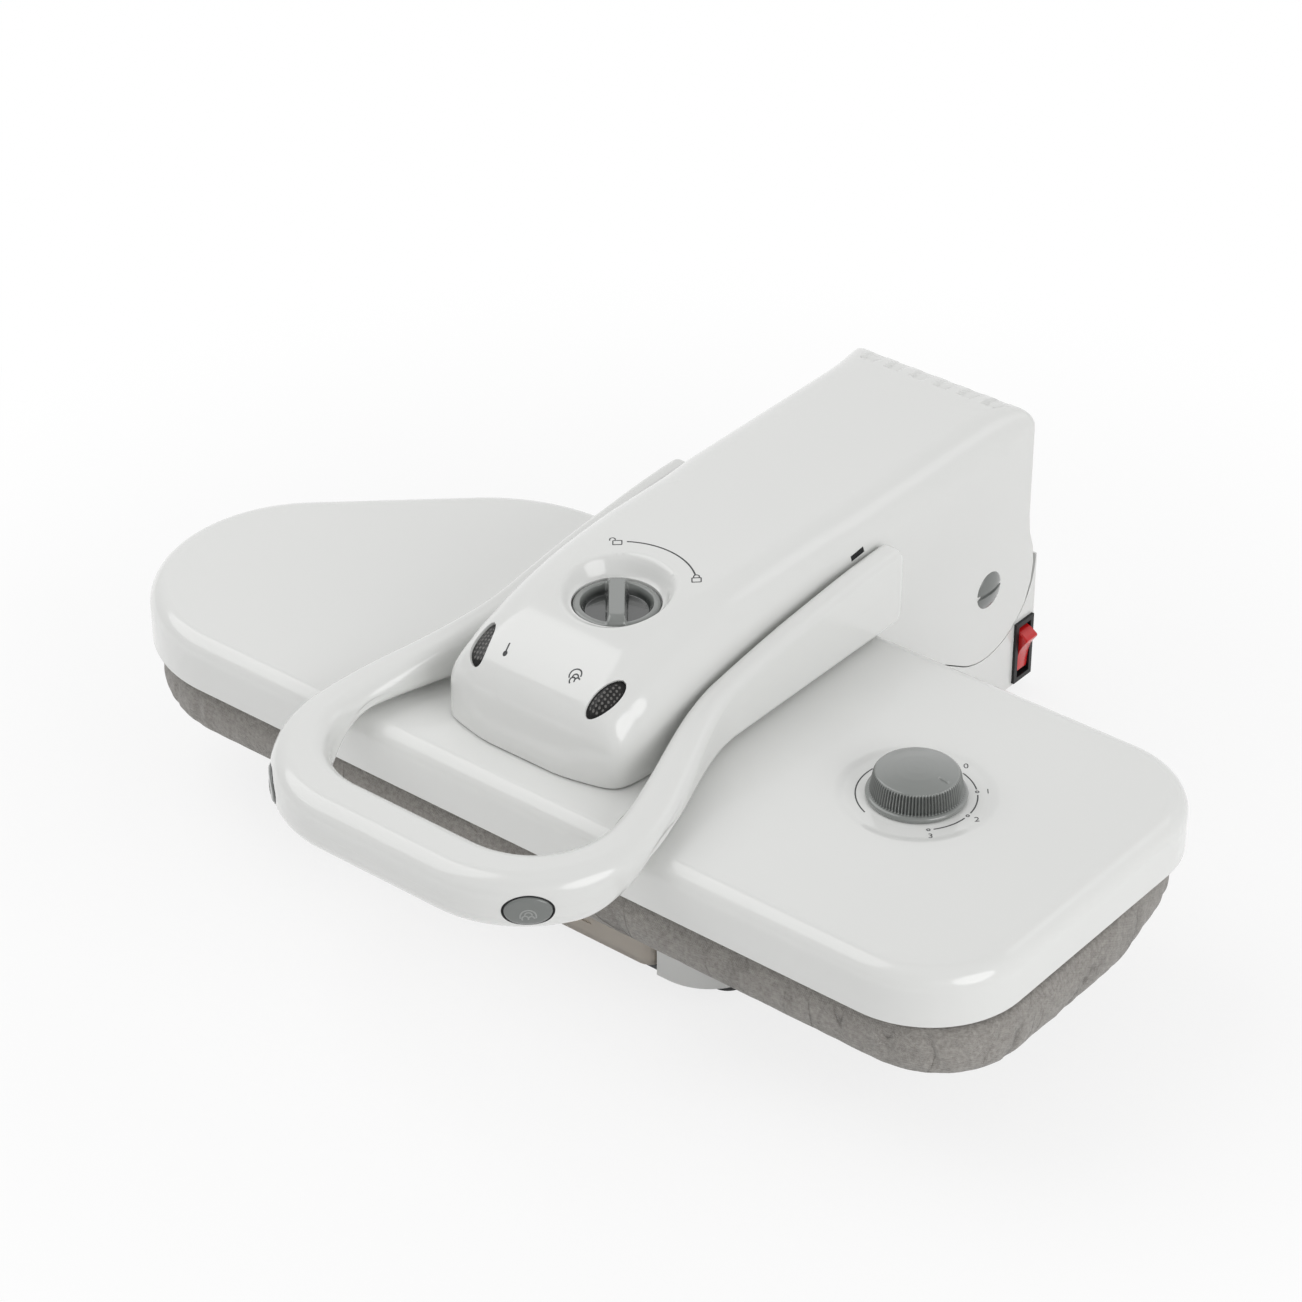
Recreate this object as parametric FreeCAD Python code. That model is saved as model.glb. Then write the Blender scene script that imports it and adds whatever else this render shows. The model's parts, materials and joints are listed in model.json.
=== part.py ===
import FreeCAD, Part
import math
import os

# Steam ironing press, closed. Millimetres, +Z up, X along the board, front towards -Y.
# It is drawn with Y = 0 at the front rim of the upper cover and moved to its middle when saved.
V = FreeCAD.Vector

# Plan of the pressing faces
cover_length = 640.0
cover_depth = 266.0
corner_radius = 61.0
nose_radius = 95.0
taper_angle = 42.3
back_arc_radius = 120.0

# Heights of the stack, from the table up
foot_height = 8.0
housing_height = 55.0
board_lift = 4.0
sheet = 3.0
pad_thickness = 25.0
cloth = 1.5
press_gap = 0.5
heat_plate_drop = 3.0
heat_plate_thickness = 8.0
cover_height = 33.0
cover_edge_round = 12.0
wall = 3.0

# Clearances
seat_gap = 0.4
slide_gap = 0.5
turn_gap = 0.05
swing_gap = 0.8

# Upper platen
heat_plate_inset = 7.0
vent_radius = 1.6
vent_pitch_x = 62.0
vent_pitch_y = 44.0
bolt_radius = 3.0
bolt_x = 34.0
bolt_lead = 90.0
bolt_setback = 41.0
post_radius = 8.0
hose_radius = 4.0
hose_bore = 2.5
hose_x = 14.0
hose_bend = 14.0
hose_rise = 26.0
chamber_half = 22.0
chamber_length = 76.0
chamber_gap = 2.0
chamber_height = 16.0
element_radius = 4.0
element_margin = 62.0
element_reach = 355.0
thermostat_radius = 16.0
thermostat_height = 13.0
insulation_thickness = 6.0
insulation_inset = 16.0

# Lower board
board_inset = 3.5
board_pan_inset = 12.0
cloth_tuck = 26.0

# Base
housing_half = 128.0
housing_front = 50.0
housing_setback = 34.0
housing_corner = 38.0
foot_radius = 13.5
foot_draft = 1.5
foot_x = 109.0
foot_inset_y = 31.0
boss_offset = 38.0
boss_radius = 6.0
screw_radius = 2.0
screw_grip = 14.0
screw_head_height = 1.5
column_reach = 52.0
lip_rise = 2.0
gland_x = -36.0
gland_z = 26.0
gland_radius = 8.0
gland_flange = 3.0

# Hinge and arm
pivot_setback = 125.0
pivot_drop = 5.0
hinge_radius = 50.0
rear_skirt = 14.0
casing_half = 69.0
casing_nose = 29.5
casing_rear_reach = 41.0
casing_rise = 75.5
arm_slim = 2.0
casing_flare = 42.0
shaft_radius = 7.0
bush_wall = 3.0
bracket_half = 46.0
bracket_plate = 6.0
bracket_reach = 20.0
frame_half = 54.0
frame_plate = 4.0
frame_rise = 37.0
frame_eye = 26.0
frame_lead = 30.0
pivot_head_radius = 12.7
pivot_head_depth = 2.0
pivot_shank = 4.0
pivot_slot_turn = 35.0
louver_count = 6
louver_pitch = 18.4
louver_half = 5.5
louver_height = 3.0
louver_drop = 9.0

# Handle
handle_side_gap = 1.5
handle_arm_width = 15.0
handle_rear_reach = 11.0
handle_lift = 3.0
handle_half_rise = 26.0
handle_pivot_lead = 11.0
handle_pin_radius = 5.0
handle_flare = 29.0
flare_start = 118.0
dip_start = 14.0
dip_end = -45.0
bar_front = -94.0
bar_width = 38.0
bar_height = 34.0
bar_bottom = 115.0
bar_corner = 64.0
handle_shell = 4.0
handle_strap = 5.0
handle_strap_height = 23.0
end_length = 7.0
handle_places = 20

# Controls
dial_inset = 128.0
dial_y = 143.0
dial_radius = 28.8
dial_height = 20.0
dial_flange = 3.0
dial_shaft = 3.0
dish_radius = 47.0
dish_slope = 6.0
dish_depth = 1.0
knob_y = 115.0
knob_radius = 25.2
knob_depth = 20.0
knob_margin = 0.9
knob_disc = 6.0
knob_grip = 11.0
knob_grip_height = 9.0
knob_turn = 45.0
spindle_radius = 5.0
spindle_length = 16.0
cam_radius = 18.0
cam_plate = 4.0
lens_x = 45.5
lens_y = 50.0
lens_drop = 25.5
lens_long = 15.0
lens_short = 6.3
lens_depth = 5.0
lens_proud = 0.6
lens_face_x = 0.40
lens_face_y = 0.46
lens_face_z = 0.80
light_board = 1.6
light_board_depth = 24.0
button_angle = 51.0
button_long = 16.5
button_short = 11.5
button_proud = 1.5
button_back = 8.0
button_seat = 15.5
switch_half = 6.0
switch_thickness = 1.6
switch_width = 19.0
switch_height = 44.0
switch_z = 32.0
bezel_lip = 2.0
bezel_margin = 1.6
rocker_depth = 16.0
rocker_margin_y = 3.4
rocker_margin_z = 6.5
rocker_pin = 1.5
rocker_tilt = 9.0
rocker_sink = 5.0

# Water
tank_half = 80.0
tank_depth = 112.0
tank_height = 40.0
tank_wall = 2.0
tank_corner = 10.0
tank_proud = 1.0
tank_grip_half = 34.0
bay_gap = 2.0
cap_radius = 17.0
cap_lip = 3.0
cap_setback = 40.0
valve_z = 27.0
valve_flange = 4.0
valve_nose = 12.0
valve_radius = 6.0
socket_half = 12.0
socket_depth = 18.0
pump_half = 28.0
pump_length = 57.0
pump_height = 34.0
pump_gap = 20.0
riser_bend = 24.0
riser_length = 30.0

# Levels and lines that follow from the sizes above
housing_top = foot_height + housing_height
pan_low = housing_top + board_lift
pad_bottom = pan_low + sheet
pad_top = pad_bottom + pad_thickness
cloth_top = pad_top + cloth
plate_bottom = cloth_top + press_gap
plate_top = plate_bottom + heat_plate_thickness
rim_z = plate_bottom + heat_plate_drop
cover_top = rim_z + cover_height
ceiling = cover_top - wall
bolt_places = [(x, y) for x in (-bolt_x, bolt_x) for y in (bolt_lead, cover_depth - bolt_setback)]
hose_y = cover_depth - element_margin - element_radius - chamber_gap - chamber_length / 2
housing_back = cover_depth + housing_setback
floor_top = foot_height + sheet
foot_front = housing_front + foot_inset_y
foot_back = housing_back - foot_inset_y
boss_rows = (foot_front + boss_offset, foot_back - boss_offset)
boss_places = [(x, y) for x in (-foot_x, foot_x) for y in boss_rows]
pivot_y = cover_depth + pivot_setback
pivot_z = rim_z - pivot_drop
dial_x = cover_length / 2 - dial_inset
casing_rear = pivot_y + casing_rear_reach
column_rear = pivot_y + column_reach
arm_half = casing_half - arm_slim
frame_front = bolt_lead - frame_lead
casing_top = cover_top + casing_rise
casing_bottom = cover_top + seat_gap
arm_bottom = cover_top + handle_lift
arm_inner = casing_half + handle_side_gap
arm_mid = arm_inner + handle_arm_width / 2
handle_rear = cover_depth + handle_rear_reach
handle_pivot_y = cover_depth - handle_pivot_lead
handle_pivot_z = arm_bottom + handle_half_rise
bar_y = bar_front + bar_width / 2
corner_y = bar_y + bar_corner
knob_floor = casing_top - knob_depth
switch_y = column_rear - switch_width / 2 - bezel_lip
rocker_half = switch_width / 2 - rocker_margin_y
rocker_tall = switch_height / 2 - rocker_margin_z
rocker_axis_x = casing_half - rocker_sink
tank_front = housing_front - tank_proud
tank_back = tank_front + tank_depth
tank_low = floor_top + slide_gap
tank_high = tank_low + tank_height
bay_top = tank_high + bay_gap
cap_y = tank_front + cap_setback
socket_front = tank_back + valve_flange + 2 * slide_gap
pump_front = socket_front + socket_depth + pump_gap
y_mid = (bar_front + column_rear + gland_flange) / 2


def save(name, shape):
    moved = shape.copy()
    moved.translate(V(0, -y_mid, 0))
    moved.exportStep("parts/" + name + ".step")


def box(x0, x1, y0, y1, z0, z1):
    return Part.makeBox(x1 - x0, y1 - y0, z1 - z0, V(x0, y0, z0))


def rod(radius, start, end):
    axis = end - start
    return Part.makeCylinder(radius, axis.Length, start, axis)


def rod_x(radius, y, z, left, right):
    return rod(radius, V(left, y, z), V(right, y, z))


def rod_y(radius, x, z, front, back):
    return rod(radius, V(x, front, z), V(x, back, z))


def rod_z(radius, x, y, low, high):
    return rod(radius, V(x, y, low), V(x, y, high))


def tube_x(outer, inner, y, z, left, right):
    return rod_x(outer, y, z, left, right).cut(rod_x(inner, y, z, left, right))


def both_sides(shape):
    other = shape.mirror(V(0, 0, 0), V(1, 0, 0))
    return Part.makeCompound([shape, other])


def join(shapes):
    first = shapes[0]
    return first.multiFuse(shapes[1:]).removeSplitter()


def arc_edge(centre, radius, start, end, z):
    points = []
    for angle in (start, (start + end) / 2, end):
        turn = math.radians(angle)
        points.append(V(centre[0] + radius * math.cos(turn), centre[1] + radius * math.sin(turn), z))
    return Part.Arc(*points).toShape()


def chain(edges):
    # Straight edges close the spaces between the arcs, in order
    closed = []
    for index, edge in enumerate(edges):
        closed.append(edge)
        here = edge.valueAt(edge.LastParameter)
        following = edges[(index + 1) % len(edges)]
        there = following.valueAt(following.FirstParameter)
        closed.append(Part.LineSegment(here, there).toShape())
    return Part.Wire(closed)


def outline(inset, z):
    # Long rounded plan: square right end, tapered left end with a round nose
    right = cover_length / 2 - corner_radius
    nose = (nose_radius - cover_length / 2, nose_radius)
    lean = math.radians(90 + taper_angle)
    shoulder_y = cover_depth - back_arc_radius
    reach = nose_radius - back_arc_radius - (shoulder_y - nose[1]) * math.sin(lean)
    shoulder = (nose[0] + reach / math.cos(lean), shoulder_y)
    tip = 90 + taper_angle
    return chain([
        arc_edge((right, corner_radius), corner_radius - inset, -90, 0, z),
        arc_edge((right, cover_depth - corner_radius), corner_radius - inset, 0, 90, z),
        arc_edge(shoulder, back_arc_radius - inset, 90, tip, z),
        arc_edge(nose, nose_radius - inset, tip, 270, z),
    ])


def slab(inset, low, high):
    return Part.Face(outline(inset, low)).extrude(V(0, 0, high - low))


def layers(levels):
    # Ruled skin through the plan at several insets and heights
    return Part.makeLoft([outline(inset, z) for inset, z in levels], True, True)


def prism_x(points, x0, x1):
    # Side profile of (y, z) points, carried along X
    corners = [V(x0, y, z) for y, z in points]
    face = Part.Face(Part.makePolygon(corners + corners[:1]))
    return face.extrude(V(x1 - x0, 0, 0))


def rounded_plan(half, front, back, radius, low, high):
    solid = box(-half, half, front, back, low, high)
    posts = [e for e in solid.Edges if abs(e.Vertexes[0].Z - e.Vertexes[-1].Z) > (high - low) / 2]
    front_posts = [e for e in posts if e.Vertexes[0].Y < (front + back) / 2]
    return solid.makeFillet(radius, front_posts)


def mix(table, key):
    # Straight lines between the listed values, level beyond them
    for (k0, v0), (k1, v1) in zip(table, table[1:]):
        if key <= k1:
            return v0 + (v1 - v0) * max(0.0, (key - k0) / (k1 - k0))
    return table[-1][1]


# Upper platen


def upper_cover():
    solid = slab(0, rim_z, cover_top)
    top = [e for e in solid.Edges if min(v.Z for v in e.Vertexes) > cover_top - 0.01]
    solid = solid.makeFillet(cover_edge_round, top)
    inside = slab(wall, rim_z, ceiling)
    top = [e for e in inside.Edges if min(v.Z for v in e.Vertexes) > ceiling - 0.01]
    inside = inside.makeFillet(cover_edge_round - wall, top)
    shell = solid.cut(inside)
    dish_floor = V(dial_x, dial_y, cover_top - dish_depth)
    dish = Part.makeCone(dish_radius - dish_slope, dish_radius, dish_depth, dish_floor)
    shell = shell.cut(dish)
    shell = shell.cut(rod_z(dial_shaft + seat_gap, dial_x, dial_y, ceiling - 1, cover_top))
    for x, y in bolt_places:
        shell = shell.cut(rod_z(bolt_radius + turn_gap, x, y, ceiling - 1, cover_top + 1))
    return shell.cut(rod_z(hose_radius + seat_gap, hose_x, hose_y, ceiling - 1, cover_top + 1))


def heat_plate():
    plate = slab(heat_plate_inset, plate_bottom, plate_top)
    holes = []
    columns = int((cover_length - 2 * nose_radius) / vent_pitch_x)
    rows = int((cover_depth - 2 * corner_radius) / vent_pitch_y) + 1
    for column in range(columns):
        for row in range(rows):
            x = (column - (columns - 1) / 2) * vent_pitch_x
            y = cover_depth / 2 + (row - (rows - 1) / 2) * vent_pitch_y
            holes.append(rod_z(vent_radius, x, y, plate_bottom - 1, plate_top + 1))
    return plate.cut(Part.makeCompound(holes))


def heating_element():
    # Hairpin heater lying on the plate, open to the left
    z = plate_top + element_radius + turn_gap
    front = element_margin
    back = cover_depth - element_margin
    bend = (back - front) / 2
    right = cover_length / 2 - element_margin + element_radius - bend + front / 4
    left = right - element_reach
    front_run = Part.LineSegment(V(left, front, z), V(right, front, z))
    turn = Part.Arc(V(right, front, z), V(right + bend, front + bend, z), V(right, back, z))
    back_run = Part.LineSegment(V(right, back, z), V(left, back, z))
    path = Part.Wire([front_run.toShape(), turn.toShape(), back_run.toShape()])
    ring = Part.Wire(Part.makeCircle(element_radius, V(left, front, z), V(1, 0, 0)))
    return path.makePipeShell([ring], True, False)


def steam_chamber():
    high = plate_top + chamber_height
    front = hose_y - chamber_length / 2
    body = box(-chamber_half, chamber_half, front, front + chamber_length, plate_top, high)
    inlet = rod_z(hose_radius + turn_gap, hose_x, hose_y, high - chamber_height / 2, high + 1)
    return body.cut(inlet)


def insulation():
    sheet_low = ceiling - insulation_thickness
    blanket = slab(insulation_inset, sheet_low, ceiling)
    for x, y in bolt_places:
        blanket = blanket.cut(rod_z(post_radius + seat_gap, x, y, sheet_low - 1, ceiling + 1))
    blanket = blanket.cut(rod_z(hose_radius + seat_gap, hose_x, hose_y, sheet_low - 1, ceiling + 1))
    return blanket.cut(rod_z(dial_shaft * 3, dial_x, dial_y, sheet_low - 1, ceiling + 1))


def thermostat():
    top = plate_top + thermostat_height
    body = rod_z(thermostat_radius, dial_x, dial_y, plate_top, top)
    return body.cut(rod_z(dial_shaft + turn_gap, dial_x, dial_y, plate_top + wall, top + 1))


def platen_posts():
    posts = []
    for x, y in bolt_places:
        post = rod_z(post_radius, x, y, plate_top, ceiling)
        posts.append(post.cut(rod_z(bolt_radius, x, y, plate_top + wall, ceiling + 1)))
    return Part.makeCompound(posts)


def platen_bolts():
    bolts = []
    seat = cover_top + frame_plate
    for x, y in bolt_places:
        shank = rod_z(bolt_radius, x, y, plate_top + wall, seat)
        head = rod_z(bolt_radius * 1.8, x, y, seat, seat + bolt_radius * 1.3)
        bolts.append(shank.fuse(head).removeSplitter())
    return Part.makeCompound(bolts)


# Lower board


def board_levels(extra, low, high):
    # Drawn in at the tuck below, full at the waist, soft at the top edge
    rise = high - low
    shape = [(6.5, 0.0), (1.5, 0.12), (0.0, 0.45), (1.0, 0.78), (4.0, 0.94), (9.5, 1.0)]
    return [(board_inset + extra + draw, low + rise * share) for draw, share in shape]


def board_cover():
    low = pan_low - 2 * cloth
    skin = layers(board_levels(0, low, cloth_top))
    hollow = layers(board_levels(cloth, pan_low - seat_gap / 4, pad_top))
    return skin.cut(hollow).cut(slab(cloth_tuck, low - cloth, pan_low))


def board_pad():
    return layers(board_levels(cloth + 2 * seat_gap, pad_bottom, pad_top - turn_gap))


def board_pan():
    return slab(board_pan_inset, pan_low, pad_bottom)


def board_posts():
    # Short pillars that carry the board above the housing, over its screw bosses
    posts = [rod_z(boss_radius, x, y, housing_top, pan_low) for x, y in boss_places]
    return Part.makeCompound(posts)


# Base

def base_housing():
    outer = rounded_plan(housing_half, housing_front, housing_back, housing_corner, foot_height, housing_top)
    inner = rounded_plan(housing_half - wall, housing_front + wall, housing_back - wall,
                         housing_corner - wall, foot_height, housing_top - wall)
    shell = outer.cut(inner)
    bay = box(-tank_half - bay_gap, tank_half + bay_gap, housing_front - wall, housing_front + 2 * wall,
              foot_height, bay_top)
    shell = shell.cut(bay)
    passage = casing_half - wall
    shell = shell.cut(box(-passage, passage, housing_back - 2 * wall, housing_back + wall, foot_height - 1,
                          housing_top - 3 * wall))
    bosses = []
    for x, y in boss_places:
        boss = rod_z(boss_radius, x, y, floor_top, housing_top - wall)
        bosses.append(boss.cut(rod_z(screw_radius, x, y, floor_top, floor_top + screw_grip)))
    return join([shell] + bosses)


def base_pan():
    gap = wall + slide_gap
    plate = rounded_plan(housing_half - gap, housing_front + gap, housing_back - gap, housing_corner - gap,
                         foot_height, floor_top)
    tail_half = casing_half - gap
    tail = box(-tail_half, tail_half, housing_back - 2 * gap, column_rear - gap, foot_height, floor_top)
    guide_x = tank_half + slide_gap
    guides = both_sides(box(guide_x, guide_x + wall, housing_front + 2 * gap, housing_front + tank_depth,
                            floor_top, floor_top + tank_height / 2))
    pan = join([plate, tail] + guides.Solids)
    for x, y in boss_places:
        pan = pan.cut(rod_z(screw_radius + turn_gap, x, y, foot_height - 1, floor_top + 1))
    return pan


def base_screws():
    screws = []
    head_low = foot_height - screw_head_height
    for x, y in boss_places:
        shank = rod_z(screw_radius, x, y, foot_height, floor_top + screw_grip - 1)
        screws.append(shank.fuse(rod_z(2 * screw_radius, x, y, head_low, foot_height)))
    return Part.makeCompound([screw.removeSplitter() for screw in screws])


def rubber_feet():
    rear_x = casing_half - foot_radius - 2 * wall
    rear_y = column_rear - foot_radius - 2 * wall
    places = [(foot_x, foot_front), (foot_x, foot_back), (rear_x, rear_y)]
    feet = []
    for x, y in places:
        for side in (-1, 1):
            feet.append(Part.makeCone(foot_radius - foot_draft, foot_radius, foot_height, V(side * x, y, 0)))
    return Part.makeCompound(feet)


def swing_profile(grow, x0, x1, top, rear):
    # Side of the hinge end: a disc about the pivot, and a tangent line forward to the cover's back
    start = (cover_depth + 2 * wall, rim_z + 2 * wall)
    reach = math.hypot(start[0] - pivot_y, start[1] - pivot_z)
    lean = math.atan2(start[1] - pivot_z, start[0] - pivot_y) + math.acos(hinge_radius / reach)
    out = (math.cos(lean), math.sin(lean))
    near = (start[0] + grow * out[0], start[1] + grow * out[1])
    touch = (pivot_y + (hinge_radius + grow) * out[0], pivot_z + (hinge_radius + grow) * out[1])
    fill = prism_x([(pivot_y, pivot_z), touch, near, (near[0], top), (rear, top), (rear, pivot_z)], x0, x1)
    disc = rod_x(hinge_radius + grow, pivot_y, pivot_z, x0, x1)
    return fill.fuse(disc)


def rear_column():
    lip = pivot_z + lip_rise
    clear = swing_profile(swing_gap, -casing_half - 1, casing_half + 1, casing_top, casing_rear)
    solid = box(-casing_half, casing_half, housing_back, column_rear, foot_height, lip).cut(clear)
    below = swing_profile(swing_gap + wall, -casing_half, casing_half, casing_top, casing_rear)
    half = casing_half - wall
    inner = box(-half, half, housing_back - 1, column_rear - wall, foot_height, lip)
    shell = solid.cut(inner.cut(below))
    slot = bracket_half + slide_gap
    thick = bracket_plate + 2 * slide_gap
    slots = both_sides(box(slot - thick, slot, pivot_y - bracket_reach - slide_gap,
                           pivot_y + bracket_reach + slide_gap, floor_top, lip + 1))
    shell = shell.cut(slots)
    window = switch_width / 2 - bezel_margin + turn_gap
    rise = switch_height / 2 - bezel_margin + turn_gap
    shell = shell.cut(box(casing_half - 2 * wall, casing_half + 1, switch_y - window, switch_y + window,
                          switch_z - rise, switch_z + rise))
    gland_hole = rod_y(gland_radius + turn_gap, gland_x, gland_z, column_rear - 2 * wall, column_rear + 1)
    return shell.cut(gland_hole)


def cord_gland():
    neck = rod_y(gland_radius, gland_x, gland_z, column_rear - 2 * wall, column_rear)
    flange = rod_y(gland_radius + wall, gland_x, gland_z, column_rear, column_rear + gland_flange)
    bore = rod_y(hose_radius, gland_x, gland_z, column_rear - 3 * wall, column_rear + gland_flange + 1)
    return neck.fuse(flange).removeSplitter().cut(bore)


def hinge_bracket():
    side = bracket_half - bracket_plate
    floor = box(-bracket_half, bracket_half, pivot_y - bracket_reach, pivot_y + bracket_reach, floor_top,
                floor_top + bracket_plate)
    cheek = box(side, bracket_half, pivot_y - bracket_reach, pivot_y + bracket_reach, floor_top, pivot_z)
    cheek = cheek.fuse(rod_x(bracket_reach, pivot_y, pivot_z, side, bracket_half))
    bush_seat = shaft_radius + bush_wall + turn_gap
    cheek = cheek.cut(rod_x(bush_seat, pivot_y, pivot_z, side - 1, bracket_half + 1))
    return join([floor] + both_sides(cheek).Solids)


def pivot_bushes():
    low = bracket_half - bracket_plate - 2
    bush = tube_x(shaft_radius + bush_wall, shaft_radius + turn_gap, pivot_y, pivot_z, low, bracket_half + 2)
    return both_sides(bush)


def counter_spring():
    reach = bracket_half - bracket_plate - 2 - slide_gap
    return tube_x(shaft_radius * 2, shaft_radius + 1, pivot_y, pivot_z, -reach, reach)


def switch_block(half, tall, left, right):
    return box(left, right, switch_y - half, switch_y + half, switch_z - tall, switch_z + tall)


def switch_bezel():
    half = switch_width / 2
    tall = switch_height / 2
    base = casing_half - rocker_depth
    face = switch_block(half, tall, casing_half, casing_half + bezel_lip)
    body = switch_block(half - bezel_margin, tall - bezel_margin, base, casing_half)
    pocket = switch_block(rocker_half + seat_gap, rocker_tall + 2 * bezel_margin, base + bezel_lip,
                          casing_half + 2 * bezel_lip)
    bezel = face.fuse(body).removeSplitter().cut(pocket)
    return bezel.cut(rod_y(rocker_pin + turn_gap, rocker_axis_x, switch_z, switch_y - half, switch_y + half))


def power_rocker():
    # Shallow V: the upper half stands out, the lower half is pressed in
    bend = casing_half - turn_gap
    rise = rocker_tall * math.tan(math.radians(2 * rocker_tilt))
    root = rocker_axis_x - 2 * rocker_pin
    profile = [(bend, 0), (bend + rise, rocker_tall), (rocker_axis_x, rocker_tall), (root, rocker_sink),
               (root, -rocker_sink), (rocker_axis_x, -rocker_tall), (bend, -rocker_tall)]
    corners = [V(x, switch_y - rocker_half, switch_z + z) for x, z in profile]
    body = Part.Face(Part.makePolygon(corners + corners[:1])).extrude(V(0, 2 * rocker_half, 0))
    reach = switch_width / 2 - bezel_margin - turn_gap
    pin = rod_y(rocker_pin, rocker_axis_x, switch_z, switch_y - reach, switch_y + reach)
    return body.fuse(pin).removeSplitter()


# Water


def tank_body():
    outer = rounded_plan(tank_half, tank_front, tank_back, tank_corner, tank_low, tank_high)
    inner = rounded_plan(tank_half - tank_wall, tank_front + tank_wall, tank_back - tank_wall,
                         tank_corner - tank_wall, tank_low + tank_wall, tank_high - tank_wall)
    shell = outer.cut(inner)
    shell = shell.cut(rod_z(cap_radius - cap_lip, 0, cap_y, tank_high - 2 * tank_wall, tank_high + 1))
    middle = (tank_low + tank_high) / 2
    grip = box(-tank_grip_half, tank_grip_half, tank_front - 1, tank_front + tank_wall / 2,
               middle - tank_height / 4, middle)
    shell = shell.cut(grip)
    return shell.cut(rod_y(valve_radius / 2, 0, valve_z, tank_back - 2 * tank_wall, tank_back + 1))


def tank_cap():
    plug = rod_z(cap_radius - cap_lip - turn_gap, 0, cap_y, tank_high - tank_wall, tank_high)
    rim = rod_z(cap_radius, 0, cap_y, tank_high, tank_high + bay_gap - slide_gap)
    return plug.fuse(rim).removeSplitter()


def tank_valve():
    flange_end = tank_back + valve_flange
    nose_end = flange_end + valve_nose
    flange = rod_y(valve_radius + wall, 0, valve_z, tank_back, flange_end)
    nose = rod_y(valve_radius, 0, valve_z, flange_end, nose_end)
    bore = rod_y(valve_radius / 2, 0, valve_z, tank_back - 1, nose_end + 1)
    return flange.fuse(nose).removeSplitter().cut(bore)


def valve_socket():
    block = box(-socket_half, socket_half, socket_front, socket_front + socket_depth, floor_top,
                valve_z + socket_half)
    mouth_end = tank_back + valve_flange + valve_nose + 2 * slide_gap
    mouth = rod_y(valve_radius + seat_gap, 0, valve_z, socket_front - 1, mouth_end)
    way = rod_y(hose_bore, 0, valve_z, mouth_end - 1, socket_front + socket_depth + 1)
    return block.cut(mouth).cut(way)


def pump_hose():
    start = socket_front + socket_depth
    skin = rod_y(hose_radius, 0, valve_z, start, pump_front)
    return skin.cut(rod_y(hose_bore, 0, valve_z, start, pump_front))


def water_pump():
    body = box(-pump_half, pump_half, pump_front, pump_front + pump_length, floor_top,
               floor_top + pump_height)
    posts = [e for e in body.Edges if abs(e.Vertexes[0].Z - e.Vertexes[-1].Z) > 1]
    return body.makeFillet(2 * wall, posts)


def bent_tube(points, bend, outer, inner):
    # Straight runs joined by tangent arcs of one radius
    edges = []
    here = points[0]
    for before, corner, after in zip(points, points[1:], points[2:]):
        come = (corner - before).normalize()
        leave = (after - corner).normalize()
        half = come.getAngle(leave) / 2
        trim = bend * math.tan(half)
        first = corner - come * trim
        last = corner + leave * trim
        across = (leave - come).normalize()
        middle = corner + across * (bend / math.cos(half) - bend)
        edges.append(Part.LineSegment(here, first).toShape())
        edges.append(Part.Arc(first, middle, last).toShape())
        here = last
    edges.append(Part.LineSegment(here, points[-1]).toShape())
    path = Part.Wire(edges)
    along = points[1] - points[0]
    skins = []
    for radius in (outer, inner):
        ring = Part.Wire(Part.makeCircle(radius, points[0], along))
        skins.append(path.makePipeShell([ring], True, False))
    return skins[0].cut(skins[1])


def riser_hose():
    level = valve_z + 2 * hose_radius
    rise_y = pivot_y - hinge_radius - hose_bend
    start = V(0, pump_front + pump_length, level)
    corner = V(0, rise_y, level)
    end = corner + V(0, 0, riser_length)
    return bent_tube([start, corner, end], riser_bend, hose_radius, hose_bore)


def steam_hose():
    top = cover_top + hose_rise
    start = V(hose_x, pivot_y - hinge_radius - hose_bend, top)
    end = V(hose_x, hose_y, plate_top + chamber_height / 2)
    return bent_tube([start, V(hose_x, hose_y, top), end], hose_bend, hose_radius, hose_bore)


# Arm


def casing_stations():
    # (y, half width, top, edge round) from the nose to the rear; the top falls towards the nose
    front = casing_nose
    top = casing_top
    rear = casing_rear
    nose = [(0, 43, 70.5, 3), (1, 35, 62.5, 6), (3, 25.5, 52.5, 10), (5, 17, 44.5, 14), (7.5, 10, 38.5, 18)]
    bridge = [(10.5, 6, 33.5, 22), (15, 3.2, 28, 27), (22, 1.5, 22.5, 32), (30, 0.6, 18.5, 34)]
    brow = [(42, 0, 14, 34), (57, 0, 10, 32), (72, 0, 6.8, 30), (92, 0, 3.7, 28)]
    crown = [(110, 0, 1.7, 27), (132, 0, 0.5, 26), (157, 0, 0, 25)]
    ahead = nose + bridge + brow + crown
    stations = [(front + way, arm_half - slim, top - fall, edge) for way, slim, fall, edge in ahead]
    for step in range(4):
        share = step / 3
        y = handle_pivot_y + casing_flare * (share - 0.75)
        half = arm_half + (casing_half - arm_half) * share * share * (3 - 2 * share)
        stations.append((y, half, top, 25))
    tail = [(75, 0, 25), (40, 0, 25), (28, 0.2, 20), (18, 0.9, 14)]
    heel = [(10, 2.2, 9), (5, 3.5, 6), (2, 5, 4), (0, 8, 3)]
    return stations + [(rear - way, casing_half, top - fall, edge) for way, fall, edge in tail + heel]


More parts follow.
